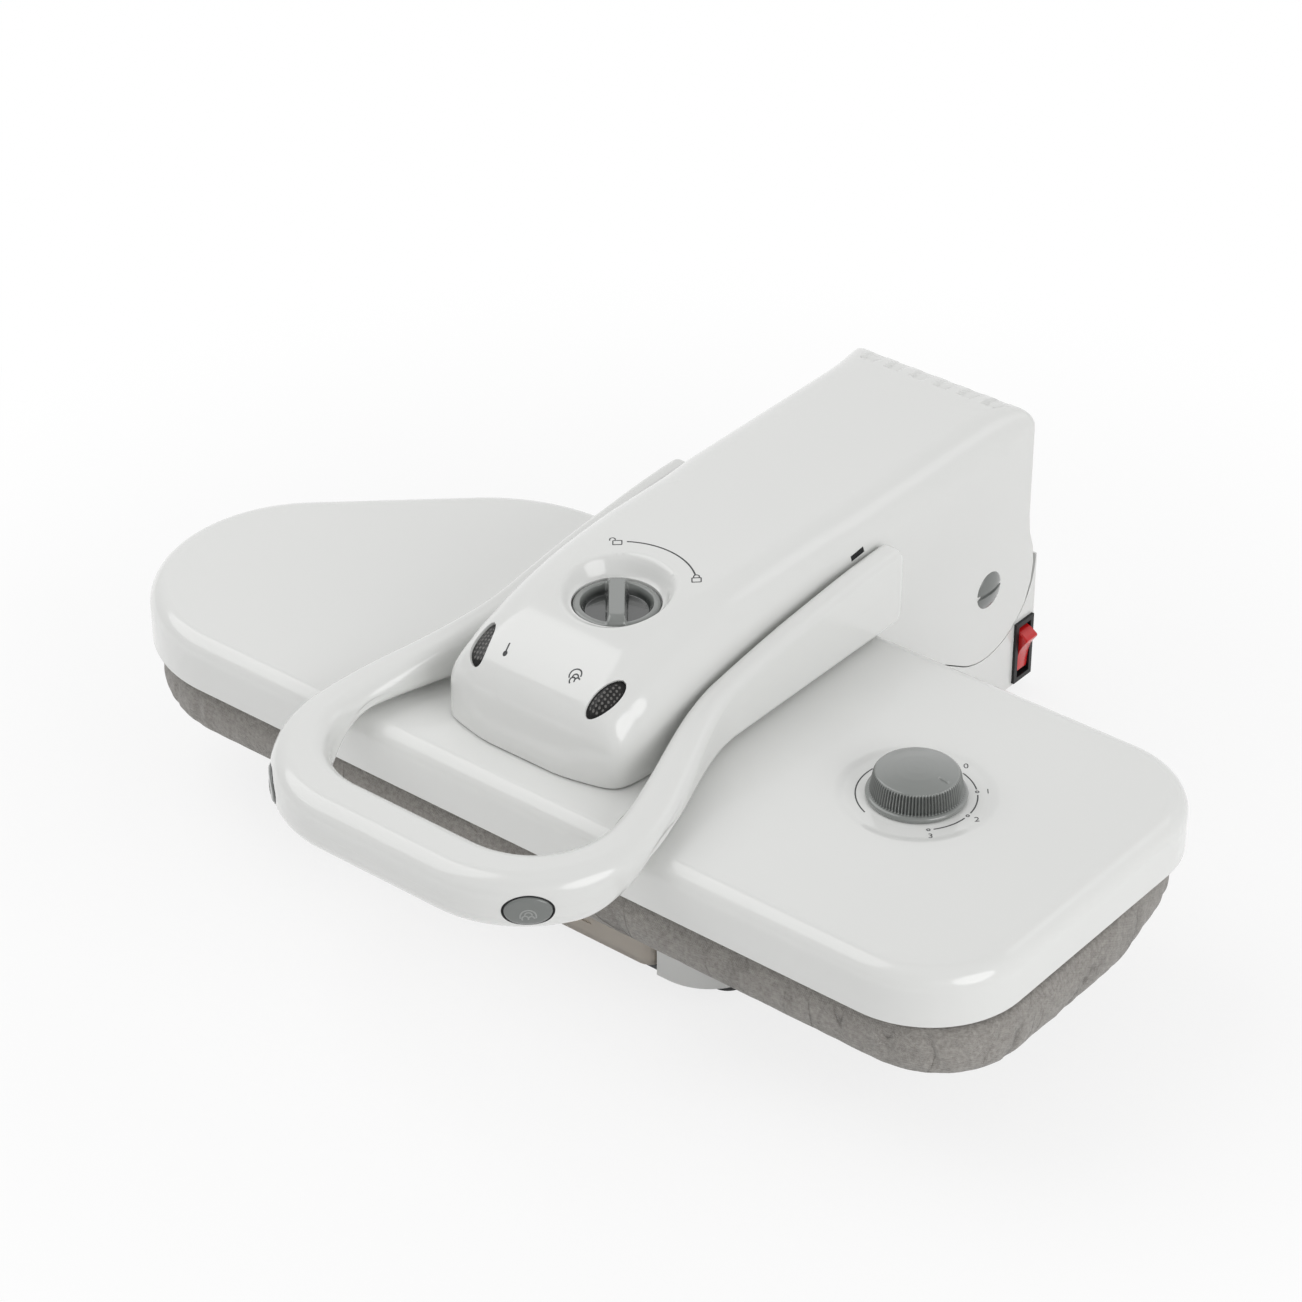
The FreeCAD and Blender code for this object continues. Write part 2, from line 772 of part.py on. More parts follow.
def casing_section(station, shrink, low):
    y, half, top, round_edge = station
    half = half - shrink
    top = top - shrink
    radius = max(round_edge - shrink, 1.0)
    corners = [V(-half, y, low), V(half, y, low), V(half, y, top - radius), V(half - radius, y, top),
               V(radius - half, y, top), V(-half, y, top - radius)]
    slope = radius * math.sqrt(0.5)
    right = V(half - radius + slope, y, top - radius + slope)
    left = V(radius - half - slope, y, top - radius + slope)
    return Part.Wire([
        Part.LineSegment(corners[0], corners[1]).toShape(),
        Part.LineSegment(corners[1], corners[2]).toShape(),
        Part.Arc(corners[2], right, corners[3]).toShape(),
        Part.LineSegment(corners[3], corners[4]).toShape(),
        Part.Arc(corners[4], left, corners[5]).toShape(),
        Part.LineSegment(corners[5], corners[0]).toShape(),
    ])


def casing_outer():
    return Part.makeLoft([casing_section(s, 0, casing_bottom) for s in casing_stations()], True, True)


def casing_inner():
    inner = []
    for y, half, top, round_edge in casing_stations():
        if top - wall - casing_bottom > round_edge:
            nose_share = max(0.0, 1 - (y - casing_nose) / (10 * wall))
            tail_share = max(0.0, 1 - (casing_rear - y) / (5 * wall))
            inner.append((y + wall * nose_share - wall * tail_share, half, top, round_edge))
    return Part.makeLoft([casing_section(s, wall, casing_bottom - 1) for s in inner], True, True)


def lens_frame():
    # Middle of the right lens on the casing and the direction that it faces
    spot = V(lens_x, lens_y, casing_top - lens_drop)
    return spot, V(lens_face_x, -lens_face_y, lens_face_z).normalize()


def lens_prism(grow, low, high):
    spot, facing = lens_frame()
    along = V(0, 1, 0) - facing * facing.y
    along.normalize()
    across = facing.cross(along)
    ellipse = Part.Ellipse(spot + along * (lens_long + grow), spot + across * (lens_short + grow), spot)
    face = Part.Face(Part.Wire(ellipse.toShape()))
    face.translate(facing * low)
    return face.extrude(facing * (high - low))


def arm_casing():
    outer = casing_outer()
    shell = outer.cut(casing_inner())
    overlap = 2 * wall
    cheek = swing_profile(0, casing_half - wall, casing_half, casing_bottom + overlap, casing_rear)
    cheek = cheek.common(box(0, casing_half, 0, casing_rear, 0, casing_top))
    boss = rod_x(frame_eye - 3 * wall, pivot_y, pivot_z, frame_half + frame_plate, casing_half - wall)
    cheek = cheek.fuse(boss)
    back = box(-casing_half, casing_half, casing_rear - wall, casing_rear, pivot_z - rear_skirt,
               casing_bottom + overlap)
    well = knob_radius + knob_margin
    cup = rod_z(well + wall, 0, knob_y, knob_floor - wall, casing_top).common(outer)
    shell = join([shell, back, cup] + both_sides(cheek).Solids)
    cuts = [rod_z(well, 0, knob_y, knob_floor, casing_top + 1),
            rod_z(spindle_radius + turn_gap, 0, knob_y, knob_floor - 2 * wall, knob_floor + 1)]
    at = V(0, pivot_y, pivot_z)
    pin = V(0, handle_pivot_y, handle_pivot_z)
    for side in (V(-1, 0, 0), V(1, 0, 0)):
        outside = side * (casing_half + wall)
        seat = side * (casing_half - pivot_head_depth)
        cuts.append(rod(pivot_head_radius + seat_gap, at + seat, at + outside))
        cuts.append(rod(pivot_shank + turn_gap, at + side * frame_half, at + side * casing_half))
        cuts.append(rod(handle_pin_radius + bay_gap, pin + side * frame_half, pin + outside))
    cuts += both_sides(lens_prism(seat_gap, -lens_depth * 6, lens_depth * 2)).Solids
    for index in range(louver_count):
        x = (index - (louver_count - 1) / 2) * louver_pitch
        high = casing_top - louver_drop
        cuts.append(box(x - louver_half, x + louver_half, casing_rear - 3 * wall, casing_rear + wall,
                        high - louver_height, high))
    return shell.cut(Part.makeCompound(cuts))


def indicator_lenses():
    return both_sides(lens_prism(0, -lens_depth, lens_proud))


def arm_frame():
    low = cover_top
    high = low + frame_rise
    side = frame_half - frame_plate
    front = frame_front
    back = cover_depth + 2 * wall
    floor = box(-frame_half, frame_half, front, back, low, low + frame_plate)
    for x, y in bolt_places:
        floor = floor.cut(rod_z(bolt_radius + turn_gap, x, y, low - 1, low + frame_plate + 1))
    floor = floor.cut(rod_z(hose_radius + seat_gap, hose_x, hose_y, low - 1, high))
    profile = [(front, low), (front, high), (back, high + 3 * frame_plate),
               (pivot_y + frame_eye * 0.7, pivot_z + frame_eye), (pivot_y + frame_eye, pivot_z),
               (pivot_y - frame_eye * 0.7, pivot_z - frame_eye * 0.7), (back, low)]
    cheek = prism_x(profile, side, frame_half)
    cheek = cheek.fuse(rod_x(frame_eye, pivot_y, pivot_z, side, frame_half))
    cheek = cheek.cut(rod_x(shaft_radius, pivot_y, pivot_z, side - 1, frame_half + 1))
    pin_hole = handle_pin_radius + turn_gap
    cheek = cheek.cut(rod_x(pin_hole, handle_pivot_y, handle_pivot_z, side - 1, frame_half + 1))
    return join([floor] + both_sides(cheek).Solids)


def pivot_shaft():
    reach = frame_half + frame_plate
    return rod_x(shaft_radius, pivot_y, pivot_z, -reach, reach)


def pivot_screws():
    base = casing_half - pivot_head_depth
    face = base + 1.2 * pivot_head_depth
    head = rod_x(pivot_head_radius, pivot_y, pivot_z, base, face)
    rim = [e for e in head.Edges if min(v.X for v in e.Vertexes) > face - 0.1 and len(e.Vertexes) == 1]
    head = head.makeFillet(pivot_head_depth / 2, rim)
    groove = 1.2
    slot = box(face - groove, face + 1, -pivot_head_radius, pivot_head_radius, -groove, groove)
    slot.rotate(V(0, 0, 0), V(1, 0, 0), pivot_slot_turn)
    slot.translate(V(0, pivot_y, pivot_z))
    head = head.cut(slot)
    shank = rod_x(pivot_shank, pivot_y, pivot_z, frame_half + frame_plate, base)
    return both_sides(head.fuse(shank).removeSplitter())


def indicator_board():
    # Small board between the cheeks of the arm frame, behind the two lenses
    high = cover_top + frame_rise - wall
    half = frame_half - frame_plate - turn_gap
    return box(-half, half, frame_front, frame_front + light_board_depth, high - light_board, high)


# Controls


def temperature_dial():
    at = V(dial_x, dial_y, cover_top - dish_depth + seat_gap)
    band_top = at + V(0, 0, 0.6 * dial_height)
    top = at + V(0, 0, dial_height)
    step = 0.8 * dial_flange
    flange = rod(dial_radius, at, at + V(0, 0, dial_flange))
    band = rod(dial_radius - step, at + V(0, 0, dial_flange), band_top)
    cap = rod(dial_radius - 1.6 * step, band_top, top)
    rim = [e for e in cap.Edges if min(v.Z for v in e.Vertexes) > top.z - 0.01 and len(e.Vertexes) == 1]
    cap = cap.makeFillet(0.3 * dial_height, rim)
    shaft = rod(dial_shaft, V(dial_x, dial_y, plate_top + wall + slide_gap), at)
    return join([flange, band, cap, shaft])


def lock_knob():
    low = knob_floor + slide_gap
    disc_top = low + knob_disc
    disc = rod_z(knob_radius, 0, knob_y, low, disc_top)
    reach = knob_radius - knob_margin
    grip = box(-knob_grip / 2, knob_grip / 2, -reach, reach, disc_top, disc_top + knob_grip_height)
    top = [e for e in grip.Edges if min(v.Z for v in e.Vertexes) > disc_top + knob_grip_height - 0.1]
    grip = grip.makeFillet(0.3 * knob_grip, top)
    grip.rotate(V(0, 0, 0), V(0, 0, 1), knob_turn)
    grip.translate(V(0, knob_y, 0))
    return join([disc, grip])


def lock_spindle():
    return rod_z(spindle_radius, 0, knob_y, knob_floor - spindle_length, knob_floor + slide_gap)


def lock_cam():
    low = knob_floor - spindle_length + slide_gap
    high = low + cam_plate
    plate = rod_z(cam_radius, 0, knob_y, low, high).cut(rod_z(spindle_radius, 0, knob_y, low, high))
    flat = box(cam_radius / 2, 2 * cam_radius, knob_y - cam_radius, knob_y + cam_radius, low - 1, high + 1)
    return plate.cut(flat)


# Handle


def handle_line():
    # Middle line of the right half as close points, from the arm's rear end to the bar's middle
    drop = flare_start - corner_y
    points = [(arm_mid, handle_rear - end_length)]
    for step in range(61):
        share = step / 60
        points.append((arm_mid + handle_flare * share * share * (3 - 2 * share), flare_start - drop * share))
    centre_x = arm_mid + handle_flare - bar_corner
    for step in range(1, 46):
        turn = math.radians(2.0 * step)
        points.append((centre_x + bar_corner * math.cos(turn), corner_y - bar_corner * math.sin(turn)))
    points.append((0.0, bar_y))
    return points


def handle_plan():
    # Evenly spaced places along the middle line: (x, y, turn of the outward side from +X towards -Y)
    points = handle_line()
    lengths = [math.hypot(b[0] - a[0], b[1] - a[1]) for a, b in zip(points, points[1:])]
    pitch = sum(lengths) / (handle_places - 0.5)
    plan = []
    way = 0.0
    for (x0, y0), (x1, y1), length in zip(points, points[1:], lengths):
        while len(plan) * pitch <= way + length and len(plan) < handle_places:
            share = (len(plan) * pitch - way) / length
            turn = math.degrees(math.atan2(x0 - x1, y0 - y1))
            plan.append((x0 + (x1 - x0) * share, y0 + (y1 - y0) * share, turn))
        way += length
    return plan


def handle_form():
    # Width, bottom, top and edge round at each place, by how far forward it is
    arm_top = handle_pivot_z + handle_half_rise
    fall = arm_top - bar_bottom - bar_height
    flare = flare_start - corner_y
    straight = handle_rear - flare_start
    slim = bar_width - handle_arm_width
    widths = [(bar_y, bar_width), (bar_y + 0.31 * bar_corner, bar_width - 0.17 * slim),
              (corner_y - 0.14 * bar_corner, bar_width - 0.35 * slim),
              (corner_y + 0.24 * flare, bar_width - 0.48 * slim),
              (corner_y + 0.56 * flare, handle_arm_width + 0.3 * slim), (flare_start, handle_arm_width)]
    falls = [(corner_y - 0.77 * bar_corner, 1.0), (corner_y, 0.95), (corner_y + 0.4 * flare, 0.77),
             (corner_y + 0.77 * flare, 0.51), (flare_start + 0.06 * straight, 0.32),
             (flare_start + 0.43 * straight, 0.13), (flare_start + 0.93 * straight, 0.0),
             (handle_rear, 0.02)]
    edges = [(bar_y, bar_height * 0.38), (0, bar_height * 0.32), (flare_start, handle_arm_width * 0.37)]
    form = []
    for x, y, turn in handle_plan():
        share = min(1.0, max(0.0, (dip_start - y) / (dip_start - dip_end)))
        low = arm_bottom - (arm_bottom - bar_bottom) * share * share * (3 - 2 * share)
        form.append((x, y, turn, mix(widths, y), low, arm_top - fall * mix(falls, y), mix(edges, y)))
    return form


def frame_point(place, across, z):
    turn = math.radians(place[2])
    return V(place[0] + across * math.cos(turn), place[1] - across * math.sin(turn), z)


def bow(place, upward, inset=0.0):
    # Half of the handle's section: a round-cornered bow, from the outside of the split to its inside
    x, y, turn, width, low, top, edge = place
    half = width / 2 - inset
    middle = (low + top) / 2
    reach = (top - low) / 2 - inset
    sign = 1 if upward else -1
    radius = max(edge - inset, 0.8)
    slope = radius * math.sqrt(0.5)
    level = middle + sign * reach
    shoulder = level - sign * radius
    seam = middle + sign * 2 * turn_gap
    return [frame_point(place, half, seam), frame_point(place, half, shoulder),
            frame_point(place, half - radius + slope, shoulder + sign * slope),
            frame_point(place, half - radius, level), frame_point(place, radius - half, level),
            frame_point(place, radius - half - slope, shoulder + sign * slope),
            frame_point(place, -half, shoulder), frame_point(place, -half, seam)]


def line(start, end):
    return Part.LineSegment(start, end).toShape()


def bow_edges(points):
    return [line(points[0], points[1]), Part.Arc(*points[1:4]).toShape(), line(points[3], points[4]),
            Part.Arc(*points[4:7]).toShape(), line(points[6], points[7])]


def ring_of(first, second):
    # Two bows closed into one outline by short lines between their ends
    edges = bow_edges(first) + [line(first[-1], second[0])]
    return Part.Wire(edges + bow_edges(second) + [line(second[-1], first[0])])


def shell_section(place, upward):
    return ring_of(bow(place, upward), bow(place, upward, handle_shell)[::-1])


def full_section(place):
    return ring_of(bow(place, True), bow(place, False)[::-1])


def bar_section(place):
    middle = (place[4] + place[5]) / 2
    half = handle_strap / 2
    tall = min(handle_strap_height / 2, (place[5] - place[4]) / 2 - handle_shell - slide_gap)
    corners = [frame_point(place, a, middle + b) for a, b in
               ((-half, -tall), (half, -tall), (half, tall), (-half, tall))]
    return Part.makePolygon(corners + corners[:1])


def mirrored(form):
    left = [(-x, y, 180 - turn, width, low, top, edge) for x, y, turn, width, low, top, edge in form[::-1]]
    return form + left


def button_axis(side):
    # Where a button sits on the handle's corner, and the way that it faces
    turn = math.radians(button_angle)
    centre = V(side * (arm_mid + handle_flare - bar_corner), corner_y, bar_bottom + bar_height / 2)
    return centre, V(side * math.cos(turn), -math.sin(turn), 0)


def button_prism(side, grow, low, high):
    centre, facing = button_axis(side)
    spot = centre + facing * (bar_corner + low)
    level = V(0, 0, 1).cross(facing)
    upright = V(0, 0, button_short + grow)
    ellipse = Part.Ellipse(spot + level * (button_long + grow), spot + upright, spot)
    return Part.Face(Part.Wire(ellipse.toShape())).extrude(facing * (high - low))


def handle_shell_half(upward):
    form = mirrored(handle_form())
    shell = Part.makeLoft([shell_section(place, upward) for place in form], True, False)
    for side in (-1, 1):
        shell = shell.cut(button_prism(side, seat_gap, button_back, 2 * button_seat))
        pin = V(side, 0, 0)
        at = V(0, handle_pivot_y, handle_pivot_z)
        shell = shell.cut(rod(handle_pin_radius + turn_gap, at + pin * (arm_inner - 1), at + pin * arm_mid))
    return shell


def handle_ends():
    place = handle_form()[0]
    x, y, turn, width, low, top, edge = place
    rows = [(y, 0.0, 0.0), (y + 0.5 * end_length, 3.0, 0.5), (y + 0.83 * end_length, 8.0, 1.5),
            (y + end_length, 14.0, 3.0)]
    wires = [full_section((x, row_y, turn, width - 2 * slim, low + drop, top - drop, edge - slim))
             for row_y, drop, slim in rows]
    return both_sides(Part.makeLoft(wires, True, True))


def handle_frame():
    form = mirrored(handle_form()[1:])
    strap = Part.makeLoft([bar_section(place) for place in form], True, False)
    for side in (-1, 1):
        at = V(side * arm_inner, handle_pivot_y, handle_pivot_z)
        strap = strap.cut(rod(handle_pin_radius, at, at + V(side * handle_arm_width, 0, 0)))
    return strap


def handle_pins():
    inner = frame_half - 2 * frame_plate
    outer = arm_mid + handle_strap / 2
    return both_sides(rod_x(handle_pin_radius, handle_pivot_y, handle_pivot_z, inner, outer))


def pin_clips():
    outer = frame_half - frame_plate - slide_gap
    return both_sides(tube_x(handle_pin_radius + wall, handle_pin_radius, handle_pivot_y, handle_pivot_z,
                             outer - wall, outer))


def steam_switches():
    switches = []
    for side in (-1, 1):
        centre, facing = button_axis(side)
        base = handle_strap / 2
        tall = 0.7 * switch_half
        block = box(base, base + switch_thickness, -switch_half, switch_half, -tall, tall)
        block.rotate(V(0, 0, 0), V(0, 0, 1), math.degrees(math.atan2(facing.y, facing.x)))
        block.translate(centre + facing * bar_corner)
        switches.append(block)
    return Part.makeCompound(switches)


def steam_button(side):
    front = button_seat + button_proud
    cap = button_prism(side, 0, button_back + switch_thickness, front)
    centre, facing = button_axis(side)
    face_edges = [e for e in cap.Edges if (e.CenterOfMass - centre).dot(facing) > bar_corner + front - 0.5]
    return cap.makeFillet(button_proud, face_edges)


nodes = {
    "upper_cover": upper_cover,
    "heat_plate": heat_plate,
    "heating_element": heating_element,
    "steam_chamber": steam_chamber,
    "insulation": insulation,
    "thermostat": thermostat,
    "platen_posts": platen_posts,
    "platen_bolts": platen_bolts,
    "board_cover": board_cover,
    "board_pad": board_pad,
    "board_pan": board_pan,
    "board_posts": board_posts,
    "base_housing": base_housing,
    "base_pan": base_pan,
    "base_screws": base_screws,
    "rubber_feet": rubber_feet,
    "rear_column": rear_column,
    "cord_gland": cord_gland,
    "hinge_bracket": hinge_bracket,
    "pivot_bushes": pivot_bushes,
    "counter_spring": counter_spring,
    "switch_bezel": switch_bezel,
    "power_rocker": power_rocker,
    "tank_body": tank_body,
    "tank_cap": tank_cap,
    "tank_valve": tank_valve,
    "valve_socket": valve_socket,
    "pump_hose": pump_hose,
    "water_pump": water_pump,
    "riser_hose": riser_hose,
    "steam_hose": steam_hose,
    "arm_casing": arm_casing,
    "arm_frame": arm_frame,
    "pivot_shaft": pivot_shaft,
    "pivot_screws": pivot_screws,
    "indicator_lenses": indicator_lenses,
    "indicator_board": indicator_board,
    "temperature_dial": temperature_dial,
    "lock_knob": lock_knob,
    "lock_spindle": lock_spindle,
    "lock_cam": lock_cam,
    "handle_upper": lambda: handle_shell_half(True),
    "handle_lower": lambda: handle_shell_half(False),
    "handle_ends": handle_ends,
    "handle_frame": handle_frame,
    "handle_pins": handle_pins,
    "pin_clips": pin_clips,
    "steam_switches": steam_switches,
    "steam_button_right": lambda: steam_button(1),
    "steam_button_left": lambda: steam_button(-1),
}

os.makedirs("parts", exist_ok=True)
for name, make in nodes.items():
    shape = make()
    volume = sum(solid.Volume for solid in shape.Solids) / 1000
    state = "valid" if shape.isValid() else "NOT VALID"
    print(name, len(shape.Solids), "solids", round(volume, 1), "cm3", state)
    save(name, shape)
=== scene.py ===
import bpy
import bmesh
import json
import math
import numpy as np
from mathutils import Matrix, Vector


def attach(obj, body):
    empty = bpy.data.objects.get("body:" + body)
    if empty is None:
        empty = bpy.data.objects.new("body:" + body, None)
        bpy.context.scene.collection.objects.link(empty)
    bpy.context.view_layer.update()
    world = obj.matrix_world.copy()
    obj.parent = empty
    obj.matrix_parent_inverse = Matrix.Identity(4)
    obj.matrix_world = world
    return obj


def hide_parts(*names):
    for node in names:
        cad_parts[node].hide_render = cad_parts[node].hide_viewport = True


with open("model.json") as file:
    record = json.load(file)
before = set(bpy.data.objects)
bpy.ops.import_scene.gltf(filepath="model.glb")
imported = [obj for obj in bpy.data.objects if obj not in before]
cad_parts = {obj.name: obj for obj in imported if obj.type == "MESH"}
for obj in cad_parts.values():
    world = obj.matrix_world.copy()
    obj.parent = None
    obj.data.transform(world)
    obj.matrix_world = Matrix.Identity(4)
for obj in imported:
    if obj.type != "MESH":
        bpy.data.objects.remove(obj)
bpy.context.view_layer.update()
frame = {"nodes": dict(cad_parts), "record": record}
print("frame loaded:", len(frame["nodes"]), "nodes")

backShift = 176.0   # mm from the cover's front rim back to the frame's middle


def toFrame(x, y, z):
    # Millimetres from the cover's front rim and the table, into metres in the part's frame
    x, y, z = np.broadcast_arrays(*(np.asarray(part, float) for part in (x, y, z)))
    return np.stack([x, y - backShift, z], -1) * 0.001


def placed(points):
    # The same for an array whose last axis holds x, y and z
    return toFrame(points[..., 0], points[..., 1], points[..., 2])


def follow(keys, values, at):
    # Monotone cubic through the listed values, level beyond them: the slope at a value is the
    # harmonic mean of its neighbours' slopes
    k, v = np.asarray(keys, float), np.asarray(values, float)
    step = np.diff(k)
    slope = np.diff(v) / step
    lean = np.zeros_like(v)
    same = slope[1:] * slope[:-1] > 0
    safe = np.where(same, slope[1:] * slope[:-1], 1.0)
    lean[1:-1] = np.where(same, 2 * safe / np.where(same, slope[1:] + slope[:-1], 1.0), 0.0)
    lean[0], lean[-1] = slope[0], slope[-1]
    at = np.clip(np.asarray(at, float), k[0], k[-1])
    i = np.clip(np.searchsorted(k, at, side="right") - 1, 0, len(step) - 1)
    t = (at - k[i]) / step[i]
    hold = v[i] * (1 + 2 * t) * (1 - t) ** 2 + v[i + 1] * t * t * (3 - 2 * t)
    return hold + step[i] * (lean[i] * t * (1 - t) ** 2 - lean[i + 1] * t * t * (1 - t))


def ease(low, high, at):
    # 0 below low, 1 above high, smooth between
    t = np.clip((np.asarray(at, float) - low) / (high - low), 0, 1)
    return t * t * (3 - 2 * t)


def fullTurn(count):
    # Angles once round, the last one short of the first
    return np.linspace(0, 2 * np.pi, count, endpoint=False)


def arcPath(middle, radius, start, end, count):
    # Points on a round arc between two angles in degrees
    turn = np.radians(np.linspace(start, end, count))
    return np.stack([middle[0] + radius * np.cos(turn), middle[1] + radius * np.sin(turn)], -1)


def wayAlong(line):
    # Distance walked along a flat broken line
    return np.concatenate([[0], np.cumsum(np.hypot(*np.diff(line, axis=0).T))])


def spaced(line, count, closing=True):
    # Evenly spaced points along a flat broken line
    line = np.asarray(line, float)
    way = wayAlong(line)
    at = np.linspace(0, way[-1], count, endpoint=closing)
    return np.stack([np.interp(at, way, line[:, 0]), np.interp(at, way, line[:, 1])], -1)


def runAndInward(line):
    # Directions along a closed line and to the inside of it
    ahead, behind = np.roll(line, -1, 0), np.roll(line, 1, 0)
    run = (ahead - behind) / np.linalg.norm(ahead - behind, axis=1)[:, None]
    return run, np.stack([-run[:, 1], run[:, 0]], -1)


def quads(rows, columns, around=False, first=0):
    # Four-cornered faces between neighbouring rows and columns; around joins the last column
    # to the first
    across = np.arange(columns if around else columns - 1)
    r, c = np.meshgrid(np.arange(rows - 1), across, indexing="ij")
    n = (c + 1) % columns
    corners = [r * columns + c, r * columns + n, (r + 1) * columns + n, (r + 1) * columns + c]
    return np.stack(corners, -1).reshape(-1, 4) + first


def caps(rows, columns, first=0):
    # The first and the last row as one flat face each
    return (np.arange(rows * columns).reshape(rows, columns)[[0, -1]] + first).tolist()


def pair(build):
    # A left and a right shape on the same closed grid
    left, right = build(-1), build(1)
    faces = quads(*left.shape[:2], True)
    points = np.concatenate([left.reshape(-1, 3), right.reshape(-1, 3)])
    return placed(points), [faces, faces + left.shape[0] * left.shape[1]]


def addObject(name, data):
    holder = bpy.data.objects.new(name, data)
    bpy.context.scene.collection.objects.link(holder)
    return holder


def cleanMesh(name, points, faces):
    # points: any array of places in metres; faces: arrays or lists of corner numbers
    mesh = bpy.data.meshes.new(name)
    corners = [face for block in faces
               for face in (block.tolist() if isinstance(block, np.ndarray) else block)]
    mesh.from_pydata(np.asarray(points).reshape(-1, 3).tolist(), [], corners)
    work = bmesh.new()
    work.from_mesh(mesh)
    bmesh.ops.remove_doubles(work, verts=work.verts, dist=1e-6)
    bmesh.ops.dissolve_degenerate(work, edges=work.edges, dist=1e-7)
    bmesh.ops.recalc_face_normals(work, faces=work.faces)
    work.to_mesh(mesh)
    work.free()
    return mesh


def workedOut(holder):
    # A new mesh of an object with its modifiers, or of a text
    bpy.context.view_layer.update()
    shown = holder.evaluated_get(bpy.context.evaluated_depsgraph_get())
    return bpy.data.meshes.new_from_object(shown)


def applyModifiers(piece, sharp):
    mesh = workedOut(piece)
    piece.modifiers.clear()
    piece.data = mesh
    mesh.set_sharp_from_angle(angle=math.radians(sharp))


def makePiece(name, body, slot, points, faces, nodes=(), finish=None, sharp=38, wall=0.0):
    # sharp: degrees from which an edge stays hard; wall: mm of thickness, given inwards
    mesh = cleanMesh(name, points, faces)
    mesh.shade_smooth()
    mesh.set_sharp_from_angle(angle=math.radians(sharp))
    mesh.materials.append(finish or looks[slot])
    piece = addObject(name, mesh)
    if wall:
        skin = piece.modifiers.new("wall", "SOLIDIFY")
        skin.thickness = wall * 0.001
        skin.offset = -1
        applyModifiers(piece, sharp)
    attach(piece, body)
    if nodes:
        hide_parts(*nodes)
    return piece


def readPoints(mesh):
    points = np.zeros(len(mesh.vertices) * 3)
    mesh.vertices.foreach_get("co", points)
    return points.reshape(-1, 3)


def writePoints(mesh, points):
    mesh.vertices.foreach_set("co", points.ravel())
    mesh.update()


def millimetres(piece):
    # A piece's points as they are drawn here
    return readPoints(piece.data) * 1000 + [0, backShift, 0]


def writeValues(piece, attribute, values):
    # One number for each point, which the piece's material reads
    store = piece.data.attributes.new(attribute, "FLOAT", "POINT")
    store.data.foreach_set("value", values.astype(np.float32))


class Flow:
    # A shader socket; sums on it add Math nodes
    def __init__(self, tree, socket=None):
        self.tree, self.socket = tree, socket

    def make(self, kind, settings, sockets, out=0):
        node = self.tree.nodes.new(kind)
        for key, value in settings.items():
            setattr(node, key, value)
        for key, value in sockets.items():
            if isinstance(value, Flow):
                self.tree.links.new(value.socket, node.inputs[key])
            else:
                node.inputs[key].default_value = value
        return None if out is None else Flow(self.tree, node.outputs[out])

    def maths(self, operation, first, second=0.0):
        return self.make("ShaderNodeMath", {"operation": operation}, {0: first, 1: second})

    def __add__(self, other):
        return self.maths("ADD", self, other)

    def __sub__(self, other):
        return self.maths("SUBTRACT", self, other)

    def __rsub__(self, other):
        return self.maths("SUBTRACT", other, self)

    def __mul__(self, other):
        return self.maths("MULTIPLY", self, other)

    __radd__ = __add__
    __rmul__ = __mul__

    def beside(self, out):
        # Another output of the same node
        return Flow(self.tree, self.socket.node.outputs[out])

    def attribute(self, name):
        return self.make("ShaderNodeAttribute", {"attribute_name": name}, {}, 2)

    def stretch(self, low, high, start=0.0, end=1.0, kind="LINEAR"):
        # Start where this value is low, end where it is high
        return self.make("ShaderNodeMapRange", {"interpolation_type": kind},
                         {"Value": self, "From Min": low, "From Max": high,
                          "To Min": start, "To Max": end})

    def blend(self, low, high):
        # Colour between two, by this value
        return self.make("ShaderNodeMix", {"data_type": "RGBA"},
                         {0: self, 6: (*low, 1), 7: (*high, 1)}, 2)


def startFinish(name, settings):
    # A new material with a Principled shader whose even values are set here
    material = bpy.data.materials.new(name)
    material.use_nodes = True
    tree = material.node_tree
    shader = tree.nodes["Principled BSDF"]
    for key, value in settings.items():
        shader.inputs[key].default_value = value
    flow = Flow(tree)
    where = flow.make("ShaderNodeTexCoord", {}, {}, 3)
    return material, flow, where, shader


def noise(flow, where, scale, detail=3.0, rough=0.5, distortion=0.0):
    return flow.make("ShaderNodeTexNoise", {},
                     {"Vector": where, "Scale": scale, "Detail": detail, "Roughness": rough,
                      "Distortion": distortion})


def bump(flow, height, strength, distance):
    return flow.make("ShaderNodeBump", {},
                     {"Height": height, "Strength": strength, "Distance": distance})


def plug(flow, shader, **links):
    for key, value in links.items():
        flow.tree.links.new(value.socket, shader.inputs[key.replace("_", " ")])


def moulding(name, colour, shine, grain, drift=0.03, extra=None, hollowShade=None):
    # Moulded plastic: slow tone drift, fine spark-eroded grain, gloss that varies a little.
    # the last argument: the piece's attribute that says how deep a point lies, and the darker
    # colour painted there as shade in the hollows
    settings = {"Specular IOR Level": 0.5}
    settings.update(extra or {})
    material, flow, where, shader = startFinish(name, settings)
    cloudy = noise(flow, where, 9.0, 4.0)
    fine = noise(flow, where, 900.0, 2.0)
    if hollowShade:
        tone = (flow.attribute(hollowShade[0]) * 0.95 + cloudy * 0.05).blend(colour, hollowShade[1])
    else:
        dark = tuple(c * (1 - drift) for c in colour)
        pale = tuple(min(1.0, c * (1 + drift)) for c in colour)
        tone = cloudy.blend(dark, pale)
    plug(flow, shader, Base_Color=tone, Roughness=cloudy * 0.08 + (shine - 0.04),
         Normal=bump(flow, fine, grain, 0.00004))
    return material


